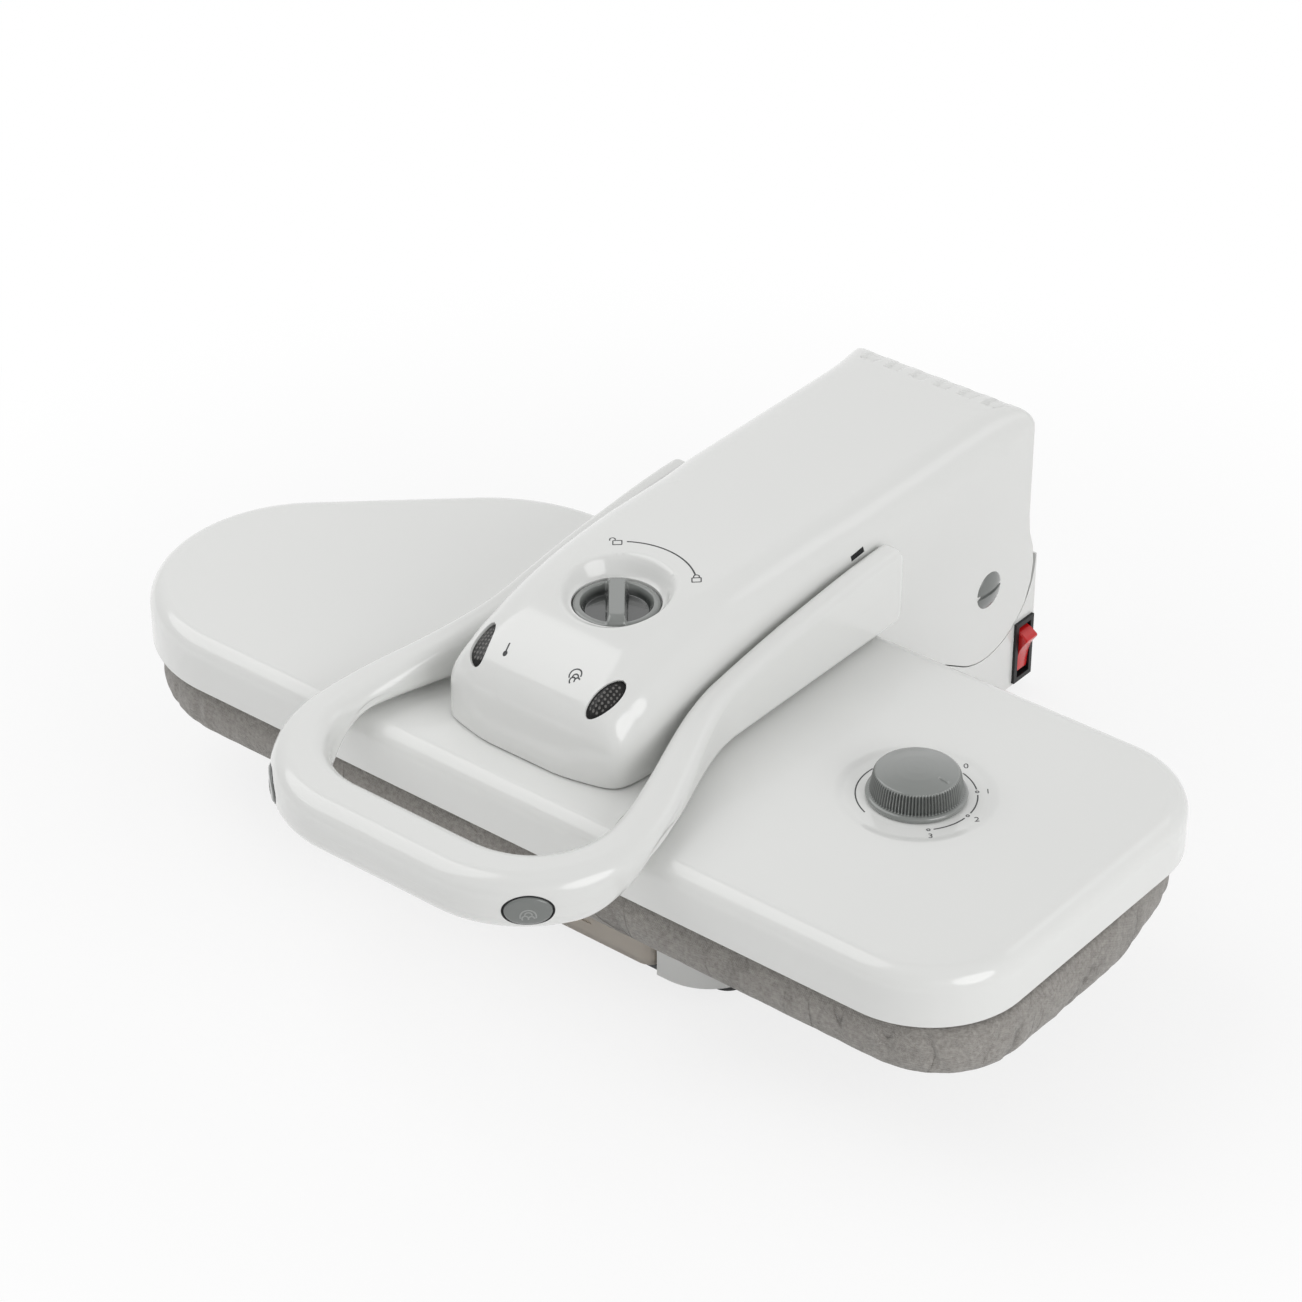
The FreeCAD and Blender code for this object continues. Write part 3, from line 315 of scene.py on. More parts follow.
def brushed(name, colour, rough, streak):
    # Metal with drawn lines along X and faint stains
    material, flow, where, shader = startFinish(name, {"Metallic": 1.0})
    along = flow.make("ShaderNodeMapping", {}, {"Vector": where, "Scale": (12.0, streak, streak)})
    lines = noise(flow, along, 3.0, 5.0, 0.6)
    stain = noise(flow, where, 30.0)
    tone = stain.blend(tuple(c * 0.86 for c in colour), colour)
    plug(flow, shader, Base_Color=tone, Roughness=lines * 0.2 + rough,
         Normal=bump(flow, lines, 0.15, 0.00005))
    return material


def paintedSteel():
    material, flow, where, shader = startFinish("paintedSteel", {"Metallic": 0.2})
    peel = noise(flow, where, 260.0, 2.0)
    tone = noise(flow, where, 14.0).blend((0.10, 0.105, 0.11), (0.14, 0.145, 0.15))
    plug(flow, shader, Base_Color=tone, Roughness=peel * 0.15 + 0.35,
         Normal=bump(flow, peel, 0.3, 0.0001))
    return material


def boardCloth():
    # Grey cotton drill: crossed threads, slubs, patches where the cloth has been heated, and
    # fine fold lines on the sides; the fold lines and the pleats darken the cloth as painted shade
    material, flow, where, shader = startFinish(
        "boardCloth", {"Sheen Weight": 0.35, "Sheen Roughness": 0.5, "Specular IOR Level": 0.2})
    slanted = flow.make("ShaderNodeMapping", {}, {"Vector": where, "Rotation": (0.0, 0.0, 0.72)})
    split = flow.make("ShaderNodeSeparateXYZ", {}, {"Vector": slanted})
    height = split.beside(2)
    threads = 5200.0
    weave = flow.maths("SINE", split * threads) * flow.maths("SINE", height * threads) * 0.5 + 0.5
    slub = noise(flow, where, 420.0, 4.0, 0.7)
    patch = noise(flow, where, 22.0, 5.0, 0.6)
    upright = flow.make("ShaderNodeMapping", {}, {"Vector": where, "Scale": (1.0, 1.0, 0.3)})
    swirl = noise(flow, upright, 34.0, 1.0, 0.5, 1.2)
    ridge = 1 - flow.maths("ABSOLUTE", swirl * 2.0 - 1.0)
    folded = noise(flow, where, 11.0, 1.0).stretch(0.48, 0.6)
    onSides = height.stretch(0.092, 0.084)
    shadedFold = flow.maths("POWER", ridge, 22.0) * folded * onSides
    mottle = slub.stretch(0.3, 0.7)
    # The fold lines and the pleats' values darken the tone: painted shade in the creases
    shade = patch * 0.35 + mottle * 0.65 - shadedFold * 0.7 - flow.attribute("shadedFold") * 0.8
    plug(flow, shader, Base_Color=shade.blend((0.168, 0.157, 0.143), (0.44, 0.419, 0.393)),
         Roughness=slub * 0.2 + 0.75,
         Normal=bump(flow, weave * 0.25 + slub * 0.3 - shadedFold, 0.8, 0.0012))
    return material


def lensMesh():
    # Black lens with a woven screen behind its gloss, plain black along the edge
    material, flow, where, shader = startFinish(
        "lensMesh", {"Coat Weight": 0.25, "Coat Roughness": 0.08, "Specular IOR Level": 0.3})
    split = flow.make("ShaderNodeSeparateXYZ", {}, {"Vector": where})
    second = split.beside(1)
    wires = 1300.0
    cross = (flow.maths("SINE", (split + second) * wires)
             * flow.maths("SINE", (split - second) * wires))
    holes = flow.maths("GREATER_THAN", cross, 0.35)
    grime = noise(flow, where, 300.0)
    screen = (holes * 0.85 + grime * 0.15) * (1 - flow.attribute("edge"))
    plug(flow, shader, Base_Color=screen.blend((0.002, 0.002, 0.002), (0.15, 0.145, 0.14)),
         Roughness=holes * 0.25 + 0.25, Normal=bump(flow, cross, 0.5, 0.0002))
    return material


def foamed(name, low, high, scale, rough=0.9):
    # Open cells: pale walls round darker pits
    material, flow, where, shader = startFinish(name, {"Specular IOR Level": 0.1})
    cells = flow.make("ShaderNodeTexVoronoi", {}, {"Vector": where, "Scale": scale})
    haze = noise(flow, where, scale * 0.1, 4.0)
    tone = (cells * 0.7 + haze * 0.3).blend(low, high)
    plug(flow, shader, Base_Color=tone, Roughness=haze * 0.1 + (rough - 0.05),
         Normal=bump(flow, cells, 0.6, 0.0004))
    return material


def tankTint():
    # Smoke-tinted clear tank, slightly clouded by lime; its tint is set paler than the tank's own
    # colour to stand in for the fill light it misses under the board: painted light
    material, flow, where, shader = startFinish(
        "tankTint", {"Transmission Weight": 0.55, "IOR": 1.49})
    cloud = noise(flow, where, 40.0, 4.0)
    tone = cloud.blend((0.78, 0.71, 0.63), (0.9, 0.84, 0.76))
    plug(flow, shader, Base_Color=tone, Roughness=cloud * 0.2 + 0.12,
         Normal=bump(flow, cloud, 0.1, 0.0003))
    return material


def boardGreen():
    material, flow, where, shader = startFinish("boardGreen", {"Coat Weight": 0.4})
    tracks = flow.make("ShaderNodeTexVoronoi", {"feature": "DISTANCE_TO_EDGE"},
                       {"Vector": where, "Scale": 220.0})
    tone = flow.maths("LESS_THAN", tracks, 0.06).blend((0.02, 0.16, 0.06), (0.05, 0.30, 0.12))
    plug(flow, shader, Base_Color=tone, Roughness=noise(flow, where, 60.0) * 0.2 + 0.35)
    return material


looks = {
    "white_plastic": moulding("whiteMoulding", (0.785, 0.79, 0.775), 0.13, 0.025, 0.012,
                              {"Coat Weight": 0.3, "Coat Roughness": 0.04}),
    "grey_plastic": moulding("greyMoulding", (0.175, 0.186, 0.178), 0.2, 0.06, 0.03,
                             {"Coat Weight": 0.5, "Coat Roughness": 0.08}),
    "black_plastic": moulding("blackMoulding", (0.012, 0.012, 0.013), 0.4, 0.15, 0.1,
                              {"Specular IOR Level": 0.3}),
    "red_plastic": moulding("redMoulding", (0.6, 0.012, 0.014), 0.25, 0.05, 0.05,
                            {"Coat Weight": 0.15}),
    "dark_plastic": moulding("darkMoulding", (0.06, 0.062, 0.066), 0.5, 0.35, 0.08),
    "tinted_tank": tankTint(),
    "lens": lensMesh(),
    "cover_cloth": boardCloth(),
    "foam": foamed("padFoam", (0.42, 0.36, 0.25), (0.66, 0.60, 0.46), 900.0),
    "mineral_wool": foamed("mineralWool", (0.45, 0.43, 0.36), (0.70, 0.68, 0.60), 400.0, 0.95),
    "steel": brushed("drawnSteel", (0.56, 0.57, 0.58), 0.24, 220.0),
    "painted_steel": paintedSteel(),
    "aluminium": brushed("castAluminium", (0.76, 0.77, 0.78), 0.32, 60.0),
    "bronze": brushed("bushBronze", (0.52, 0.33, 0.15), 0.34, 40.0),
    "rubber": moulding("footRubber", (0.035, 0.035, 0.036), 0.72, 0.5, 0.1),
    "silicone": moulding("hoseSilicone", (0.62, 0.60, 0.55), 0.45, 0.2, 0.05),
    "circuit_board": boardGreen(),
}
inkPrint = moulding("inkPrint", (0.05, 0.052, 0.055), 0.5, 0.2, 0.15)
# Paler grey than the buttons, for their raised steam clouds: painted highlight on the raised lines
reliefHighlightGrey = moulding("reliefHighlightGrey", (0.33, 0.34, 0.33), 0.3, 0.1)
# Knob and dial: pale grey, with a near-black grey painted deep in the knob's scoops and between the
# dial's ribs, as painted shade
paleGrey, hollowShadeGrey = (0.222, 0.234, 0.224), (0.04, 0.044, 0.042)
knobGrey, dialGrey = (moulding(name, paleGrey, 0.18, 0.06, hollowShade=(attribute, hollowShadeGrey),
                               extra={"Coat Weight": 1.0, "Coat Roughness": 0.04})
                      for name, attribute in (("knobGrey", "hollowShade"), ("dialGrey", "valley")))
rowSlots = {row["node"]: row["material_slot"] for row in frame["record"]["subparts"]}
for nodeName, nodeObject in frame["nodes"].items():
    nodeObject.data.materials.clear()
    nodeObject.data.materials.append(looks[rowSlots[nodeName]])
print("finishes ready:", len(looks) + 4)


cover = {"length": 640.0, "depth": 266.0, "corner": 61.0, "nose": 95.0, "taper": 42.3,
         "backArc": 120.0, "rim": 100.0, "rimRows": (0, 1, 11), "top": 133.0, "edge": 12.0,
         "wall": 3.0, "points": 420,
         "dial": (192.0, 143.0), "dish": 47.0, "dishSlope": 7.0, "dishDepth": 1.0,
         "dishRings": (36.0, 33.0, 20.0, 3.4)}   # radii on the dish's floor, the last one the hole


def planOutline(count):
    # Four arcs joined by straight runs, spaced evenly along their length
    c = cover
    right = c["length"] / 2 - c["corner"]
    nose = (c["nose"] - c["length"] / 2, c["nose"])
    tip = 90 + c["taper"]
    lean = math.radians(tip)
    backY = c["depth"] - c["backArc"]
    reach = c["nose"] - c["backArc"] - (backY - nose[1]) * math.sin(lean)
    shoulder = (nose[0] + reach / math.cos(lean), backY)
    bends = [arcPath((right, c["corner"]), c["corner"], -90, 0, 200),
             arcPath((right, c["depth"] - c["corner"]), c["corner"], 0, 90, 200),
             arcPath(shoulder, c["backArc"], 90, tip, 200),
             arcPath(nose, c["nose"], tip, 270, 200)]
    return spaced(np.concatenate(bends + [bends[0][:1]]), count, False)


def buildCover():
    # Rows go up the side, round the edge, and straight in to the dial's dish, each point towards
    # the dial's middle
    c = cover
    turn = np.radians(np.linspace(0, 90, 14))
    insets = np.concatenate([[0] * len(c["rimRows"]), c["edge"] * (1 - np.cos(turn))])
    heights = np.concatenate([c["rim"] + np.array(c["rimRows"]),
                              c["top"] - c["edge"] * (1 - np.sin(turn))])
    base = planOutline(c["points"])
    inward = runAndInward(base)[1]
    side = base[None] + inward[None] * insets[:, None, None]
    sideZ = np.repeat(heights[:, None], c["points"], 1)
    middle = np.array(c["dial"])
    spoke = side[-1] - middle
    far = np.linalg.norm(spoke, axis=1)
    spoke = spoke / far[:, None]
    lip, slopeEnd = c["dish"], c["dish"] - c["dishSlope"]
    radii = [far + (lip - far) * t for t in np.linspace(0, 1, 9)[1:]]
    rings = np.concatenate([np.linspace(lip, slopeEnd, 9)[1:], c["dishRings"]])
    radii = np.array(radii + [np.full(c["points"], r) for r in rings])
    flat = middle + spoke[None] * radii[:, :, None]
    flatZ = c["top"] - c["dishDepth"] * (1 - ease(slopeEnd, lip, radii))
    xy = np.concatenate([side, flat])
    z = np.concatenate([sideZ, flatZ])
    makePiece("upperCover", "arm", "white_plastic", toFrame(xy[..., 0], xy[..., 1], z),
              [quads(len(z), c["points"], True)], ["upper_cover"], wall=c["wall"])


buildCover()
print("upper cover ready")


casing = {
    "bottom": 134.2, "rows": 250, "wallPoints": 11, "edgePoints": 15, "topPoints": 93, "wall": 2.5,
    # y, half width, top, edge round
    "stations": [(29.5, 24, 138, 3), (30.5, 32, 146, 6), (32.5, 41.5, 156, 10), (34.5, 50, 164, 14),
                 (37, 57, 170, 18), (40, 61, 175, 22), (44.5, 63.8, 180.5, 27),
                 (51.5, 65.5, 186, 32), (59.5, 66.4, 190, 34), (71.5, 67, 194.5, 34),
                 (86.5, 67, 198.5, 32), (101.5, 67, 201.7, 30), (121.5, 67, 204.8, 28),
                 (139.5, 67, 206.8, 27), (161.5, 67, 208, 26), (186.5, 67, 208.5, 25),
                 (223.5, 67, 208.5, 25), (265.5, 69, 208.5, 25), (357, 69, 208.5, 25),
                 (392, 69, 208.5, 25), (404, 69, 208.1, 23.5), (414, 69, 207.2, 20.5),
                 (422, 69, 205.9, 16.5), (427, 69, 204.5, 13), (430, 69, 203.1, 10.5),
                 (432, 69, 200.7, 8)],
    "pivot": (391.0, 95.0), "hinge": 50.0, "step": (272.0, 106.0), "swellFrom": 404.0,
    # height, how far the rear wall stands back round the hinge
    "swell": [(66.4, 0), (75, 4), (85, 6.6), (95, 7.2), (107, 5.2), (115, 2.4), (119, 0.7),
              (122, 0), (160, 0)],
    "louvers": 6, "louverPitch": 18.4, "louverHalf": 5.2, "louverFront": 414.0, "louverDepth": 3.0,
    "knob": (0.0, 115.0), "well": 26.1, "wellTop": 195.4, "wellFloor": 188.6, "spindle": 5.2,
    "bowl": 7.6, "bowlBehind": 0.8,
    "lens": (45.5, 50.0), "lensLong": 14.8, "lensShort": 6.4, "lensFacing": (0.40, -0.46, 0.80),
    # the part of the skin that is drawn afresh round the knob and round a lens, and its rings
    "knobRows": (74.0, 170.0), "lensRows": (32.5, 68.0), "lensInner": 0.78, "lensOuter": 11,
    "knobRings": 26, "lensRings": 12, "holePoints": 240,
}


def casingLines():
    # The listed stations, followed smoothly by the distance along them
    s = np.array(casing["stations"], float)
    steps = np.sqrt((np.diff(s[:, :3], axis=0) ** 2).sum(1))
    way = np.concatenate([[0], np.cumsum(steps)])
    at = np.linspace(0, way[-1], casing["rows"])
    y = follow(way, s[:, 0], at)
    stepY = casing["step"][0]
    extra = np.interp([stepY - 0.01, stepY + 0.01], y, at)
    at = np.sort(np.concatenate([at, extra]))
    return [follow(way, s[:, column], at) for column in range(4)]


casingY, casingHalf, casingTop, casingEdge = casingLines()


def casingAt(y):
    return (np.interp(y, casingY, line) for line in (casingHalf, casingTop, casingEdge))


def casingHeight(x, y):
    # Height of the casing's skin over a place: flat top, quarter-round edges
    half, top, edge = casingAt(y)
    over = np.clip(np.abs(x) - (half - edge), 0, edge)
    return top - edge + np.sqrt(np.maximum(edge ** 2 - over ** 2, 0))


def casingFoot(y):
    # Lower edge of the side: level over the cover, then down a line to the hinge disc and round it
    py, pz = casing["pivot"]
    sy, sz = casing["step"]
    radius = casing["hinge"]
    reach = math.hypot(sy - py, sz - pz)
    lean = math.atan2(sz - pz, sy - py) + math.acos(radius / reach)
    ty, tz = py + radius * math.cos(lean), pz + radius * math.sin(lean)
    slope = sz + (tz - sz) * (y - sy) / (ty - sy)
    disc = pz - np.sqrt(np.maximum(radius ** 2 - (y - py) ** 2, 0))
    return np.where(y < sy, casing["bottom"], np.where(y < ty, slope, disc))


def lensAxes(side):
    # Middle of a lens on the skin, the way it faces, and its long and short directions
    facing = np.array(casing["lensFacing"]) / np.linalg.norm(casing["lensFacing"])
    along = np.array([0, 1, 0]) - facing * facing[1]
    along = along / np.linalg.norm(along)
    across = np.cross(facing, along)
    x, y = casing["lens"]
    spot = np.array([x, y, float(casingHeight(x, y))])
    flip = np.array([side, 1, 1])
    return spot * flip, facing * flip, along * flip, across * flip


def lensOval(side, share, turn):
    # Places of an oval in the lens's plane, moved along the way it faces until they lie on the
    # skin, found by halving
    spot, facing, along, across = lensAxes(side)
    share, turn = np.broadcast_arrays(share, turn)
    flat = (spot + along * (casing["lensLong"] * share * np.cos(turn))[..., None]
            + across * (casing["lensShort"] * share * np.sin(turn))[..., None])
    low, high = np.full(turn.shape, -14.0), np.full(turn.shape, 14.0)
    for _ in range(40):
        middle = (low + high) / 2
        place = flat + facing * middle[..., None]
        above = place[..., 2] > casingHeight(place[..., 0], place[..., 1])
        low, high = np.where(above, low, middle), np.where(above, middle, high)
    return flat + facing * low[..., None]


def holePatch(points, block, middle, hole, rows, height):
    # Ring of faces from the edge of a block of the grid to a closed line: straight spokes in
    # plan, on the skin
    low, high, left, right = block
    across, down = np.arange(left, right), np.arange(low, high)
    edge = np.concatenate([np.stack([np.full_like(across, low), across], -1),
                           np.stack([down, np.full_like(down, right)], -1),
                           np.stack([np.full_like(across, high), across[::-1] + 1], -1),
                           np.stack([down[::-1] + 1, np.full_like(down, left)], -1)])
    outer = points[edge[:, 0], edge[:, 1]]
    bearing = np.arctan2(hole[:, 1] - middle[1], hole[:, 0] - middle[0])
    order = np.argsort(bearing)
    spread = np.concatenate([bearing[order] + turn for turn in (-2 * np.pi, 0, 2 * np.pi)])
    wanted = np.arctan2(outer[:, 1] - middle[1], outer[:, 0] - middle[0])
    inner = np.stack([np.interp(wanted, spread, np.tile(hole[order, axis], 3))
                      for axis in (0, 1)], -1)
    share = np.linspace(0, 1, rows)[:, None, None]
    xy = outer[None, :, :2] * (1 - share) + inner[None] * share
    z = height(xy[..., 0], xy[..., 1])
    z[0] = outer[:, 2]
    return np.concatenate([xy, z[..., None]], -1)


def knobBowl(x, y):
    # The skin sinks to the knob's rim all round, a little more gently behind it
    kx, ky = casing["knob"]
    away = np.hypot(x - kx, y - ky)
    behind = (1 + (y - ky) / np.maximum(away, 1e-6)) / 2
    reach = casing["bowl"] + casing["bowlBehind"] * behind
    skin = casingHeight(x, y)
    sink = 1 - ease(casing["well"], casing["well"] + reach, away)
    return skin + (np.minimum(casing["wellTop"], skin) - skin) * sink


def casingSkin():
    # Section by section: up the wall, round the edge, over the top and down again; the louvers
    # sink into the top's rear edge, and the rear swells round the hinge
    c = casing
    y, half, top, edge = (line[:, None] for line in (casingY, casingHalf, casingTop, casingEdge))
    foot = casingFoot(y)
    wall = np.linspace(0, 1, c["wallPoints"])[None, :-1]
    turn = np.radians(np.linspace(0, 90, c["edgePoints"]))[None, :-1]
    flat = np.linspace(-1, 1, c["topPoints"])[None]
    wallX, wallZ = -half + 0 * wall, foot + (top - edge - foot) * wall
    edgeX, edgeZ = -half + edge * (1 - np.cos(turn)), top - edge + edge * np.sin(turn)
    topX = (half - edge) * flat
    x = np.concatenate([wallX, edgeX, topX, -edgeX[:, ::-1], -wallX[:, ::-1]], 1)
    z = np.concatenate([wallZ, edgeZ, top + 0 * flat, edgeZ[:, ::-1], wallZ[:, ::-1]], 1)
    places = (np.arange(c["louvers"]) - (c["louvers"] - 1) / 2) * c["louverPitch"]
    near = np.abs(x[..., None] - places).min(-1)
    front = c["louverFront"]
    deep = (1 - ease(c["louverHalf"] - 1, c["louverHalf"], near)) * ease(front, front + 1, y)
    deep = deep * np.clip((casingY[-1] - y) / (casingY[-1] - front), 0, 1) * (z > top - 2)
    z = z - c["louverDepth"] * deep
    swell = follow(*zip(*c["swell"]), z) * ease(c["swellFrom"], casingY[-1], y)
    return np.stack([x, y + swell, z], -1)


def buildCasing():
    # The skin with the blocks round the knob and the lenses left out, patches in their place, a
    # well under the knob, and flat walls in front and behind
    c = casing
    skin = casingSkin()
    rows, columns = skin.shape[:2]
    number = np.arange(rows * columns).reshape(rows, columns)
    keep = np.ones((rows - 1, columns - 1), bool)
    firstTop = c["wallPoints"] + c["edgePoints"] - 2
    lastTop = firstTop + c["topPoints"] - 1
    turn = fullTurn(c["holePoints"])
    knobMiddle = np.array(c["knob"])
    ring = knobMiddle + c["well"] * np.stack([np.cos(turn), np.sin(turn)], -1)
    knobBlock = (*np.searchsorted(casingY, c["knobRows"]), firstTop, lastTop)
    blocks = [(knobBlock, knobMiddle, ring, c["knobRings"], knobBowl)]
    inner, outer = firstTop + int(c["topPoints"] * c["lensInner"]), lastTop + c["lensOuter"]
    for side in (-1, 1):
        hole = lensOval(side, 1.0, turn)[:, :2]
        sides = (inner, outer) if side > 0 else (columns - 1 - outer, columns - 1 - inner)
        lensBlock = (*np.searchsorted(casingY, c["lensRows"]), *sides)
        blocks.append((lensBlock, lensAxes(side)[0][:2], hole, c["lensRings"], casingHeight))
    points, faces, count = [skin.reshape(-1, 3)], [], rows * columns
    for block, middle, hole, rings, height in blocks:
        low, high, left, right = block
        keep[low:high, left:right] = False
        ring = holePatch(skin, block, middle, hole, rings, height)
        if height is knobBowl:
            floor = c["wellFloor"]
            well = np.repeat(ring[-1:], 3, 0)
            well[:, :, 2] = np.array([floor + 1, floor, floor])[:, None]
            well[2, :, :2] = middle + (ring[-1, :, :2] - middle) * c["spindle"] / c["well"]
            ring = np.concatenate([ring, well])
        points.append(ring.reshape(-1, 3))
        faces.append(quads(*ring.shape[:2], True, count))
        count += ring.shape[0] * ring.shape[1]
    body = quads(rows, columns).reshape(rows - 1, columns - 1, 4)[keep]
    left = np.arange(1, columns // 2 - 1)
    right = columns - 1 - left
    rear = number[-1]
    rearWall = np.stack([rear[left], rear[left + 1], rear[right - 1], rear[right]], -1)
    crest = rear[columns // 2 - 1:columns // 2 + 2]
    makePiece("armCasing", "arm", "white_plastic", placed(np.concatenate(points)),
              [body, rearWall, [crest.tolist(), number[0].tolist()]] + faces, ["arm_casing"],
              wall=c["wall"])


buildCasing()
print("arm casing ready")


lens = {"points": 72, "band": (0.75, 0.8),
        # share of the oval, height over the skin
        "profile": [(0.0, -1.3), (0.3, -1.32), (0.6, -1.38), (0.74, -1.42), (0.8, -1.44),
                    (0.95, -1.5), (0.975, -1.7), (0.975, -4.5), (0.5, -4.5), (0.0, -4.5)]}


def lensDish(side):
    # Ovals laid on the casing's skin and sunk along the way the lens faces: a shallow dish with
    # a square back
    share, sink = np.array(lens["profile"]).T
    places = lensOval(side, share[:, None], fullTurn(lens["points"])[None])
    return places + lensAxes(side)[1] * sink[:, None, None]


def lensEdge(at):
    # 0 in the middle of the nearer lens, 1 in a narrow band along its edge
    spot, _, along, across = lensAxes(1)
    off = np.column_stack([np.abs(at[:, 0]), at[:, 1:]]) - spot
    away = np.hypot(off @ along / casing["lensLong"], off @ across / casing["lensShort"])
    return ease(*lens["band"], away)


indicatorLenses = makePiece("indicatorLenses", "arm", "lens", *pair(lensDish), ["indicator_lenses"])
writeValues(indicatorLenses, "edge", lensEdge(millimetres(indicatorLenses)))
print("lenses ready")


knob = {"middle": (0.0, 115.0), "radius": 25.2, "floor": 188.8, "rim": 195.4, "top": 199.4,
        "bar": 4.3, "barSlope": 2.0, "rimWidth": 3.6, "wellSlope": 3.6, "wellDepth": 5.9,
        "turn": 39.0, "rimRound": 2.6, "rimDrop": 1.6, "skirtDrop": 2.4, "gripFrom": 0.6,
        "gripRise": 6.5, "gripShape": 0.7, "points": 180}


def buildKnob():
    # A disc seen from above: raised rim, a straight grip through the middle, a scooped hollow on
    # each side
    k = knob
    turn = fullTurn(k["points"])
    shares = np.concatenate([np.linspace(0, 0.7, 40), np.linspace(0.71, 1.0, 34)])
    r, a = np.meshgrid(shares * k["radius"], turn, indexing="ij")
    x, y = r * np.cos(a), r * np.sin(a)
    lean = math.radians(k["turn"])
    off = np.abs(x * math.cos(lean) + y * math.sin(lean))
    fromRim = k["radius"] - r
    bend = 1 - np.clip(fromRim / k["rimRound"], 0, 1)
    rim = k["rim"] - k["rimDrop"] * (1 - np.sqrt(np.clip(1 - bend ** 2, 0, 1)))
    clear = ease(k["bar"], k["bar"] + k["barSlope"], off)
    scoop = clear * ease(k["rimWidth"], k["rimWidth"] + k["wellSlope"], fromRim)
    climb = np.clip((fromRim - k["gripFrom"]) / k["gripRise"], 0, 1)
    grip = (1 - clear) * np.sin(np.pi / 2 * climb) ** k["gripShape"]
    z = rim - k["wellDepth"] * scoop + (k["top"] - k["rim"]) * grip
    skirt = np.array([[k["rim"] - k["skirtDrop"]], [k["floor"]], [k["floor"]]]) + 0 * turn
    under = np.array([[1.0], [1.0], [0.0]])
    x, y = (np.concatenate([part, under * part[-1:]]) for part in (x, y))
    return makePiece("lockKnob", "lock", "grey_plastic",
                     toFrame(x + k["middle"][0], y + k["middle"][1], np.concatenate([z, skirt])),
                     [quads(*x.shape, True)], ["lock_knob"], finish=knobGrey, sharp=60)


def knobHollowShade(at):
    # How much painted shade the knob gets: 1 on the floor of the scoops, 0 from just under the rim
    # and on the skirt
    inside = np.hypot(at[:, 0], at[:, 1] - knob["middle"][1]) < knob["radius"] - 2
    return ease(knob["rim"] - 1.0, knob["rim"] - 4.5, at[:, 2]) * inside


lockKnob = buildKnob()
writeValues(lockKnob, "hollowShade", knobHollowShade(millimetres(lockKnob)))
print("lock knob ready")


dial = {"middle": (192.0, 143.0), "floor": 132.1, "ribs": 84, "ribDepth": 1.15, "ribShape": 0.8,
        "bandStart": (3.4, 3.8), "bandEnd": (14.2, 15.2), "pointer": 2.0,
        # raised line on the top: height, where it starts and ends, half its width
        "line": 0.8, "lineStart": (14.5, 15.0), "lineEnd": (20.6, 21.0), "lineHalf": (0.8, 1.3),
        "topFrom": 15.8,
        # radius, height, share of ribbing
        "profile": [(3.2, 0.0, 0), (28.2, 0.0, 0), (28.8, 0.6, 0), (28.8, 2.2, 0), (28.3, 3.1, 0),
                    (27.2, 3.5, 0), (26.6, 3.6, 0.1), (26.5, 3.9, 1), (26.1, 6.5, 1),
                    (25.4, 10.5, 1), (24.8, 13.6, 1), (24.5, 14.5, 0.9), (24.0, 15.2, 0.4),
                    (23.4, 15.7, 0), (22.6, 15.95, 0), (21.6, 16.1, 0), (18.0, 16.8, 0),
                    (12.0, 17.7, 0), (6.0, 18.2, 0), (0.0, 18.4, 0)]}


def ribValley(turn):
    # 0 on a rib, 1 between two
    return (0.5 - 0.5 * np.cos(turn * dial["ribs"])) ** dial["ribShape"]


def buildDial():
    # Turned profile; on the ribbed band the radius swings with the angle
    d = dial
    turn = fullTurn(d["ribs"] * 8)
    p = np.array(d["profile"])
    way = wayAlong(p[:, :2])
    at = np.sort(np.concatenate([way, np.linspace(way[4], way[-1], 46)]))
    radius, height, ribbed = (np.interp(at, way, p[:, c])[:, None] for c in range(3))
    r = radius - d["ribDepth"] * ribbed * ribValley(turn)
    point = math.radians(d["pointer"])
    ahead = r * np.cos(turn - point)
    aside = np.abs(r * np.sin(turn - point))
    line = d["line"] * ease(*d["lineStart"], ahead) * (1 - ease(*d["lineEnd"], ahead))
    line = line * (1 - ease(*d["lineHalf"], aside))
    z = d["floor"] + height + line * (height > d["topFrom"])
    points = toFrame(d["middle"][0] + r * np.cos(turn), d["middle"][1] + r * np.sin(turn), z)
    return makePiece("temperatureDial", "dial", "grey_plastic", points,
                     [quads(len(at), len(turn), True)], ["temperature_dial"], finish=dialGrey,
                     sharp=50)


def dialValleyShade(at):
    # Painted shade, strong between the ribs of the band, nothing on the flange and the top
    x, y = at[:, 0] - dial["middle"][0], at[:, 1] - dial["middle"][1]
    level = at[:, 2] - dial["floor"]
    band = ease(*dial["bandStart"], level) * (1 - ease(*dial["bandEnd"], level))
    return band * ribValley(np.arctan2(y, x))


temperatureDial = buildDial()
# The dial's colour darkens by these values between the ribs: painted shade in the valleys
writeValues(temperatureDial, "valley", dialValleyShade(millimetres(temperatureDial)))
print("temperature dial ready")


screw = {"middle": (391.0, 95.0), "radius": 12.3, "seat": 69.0, "edge": 0.5, "rise": 2.2,
         "slot": 1.0, "slotSoft": 0.3, "slotDepth": 1.5, "slotTurn": 4.0, "under": 1.8,
         "points": 160}


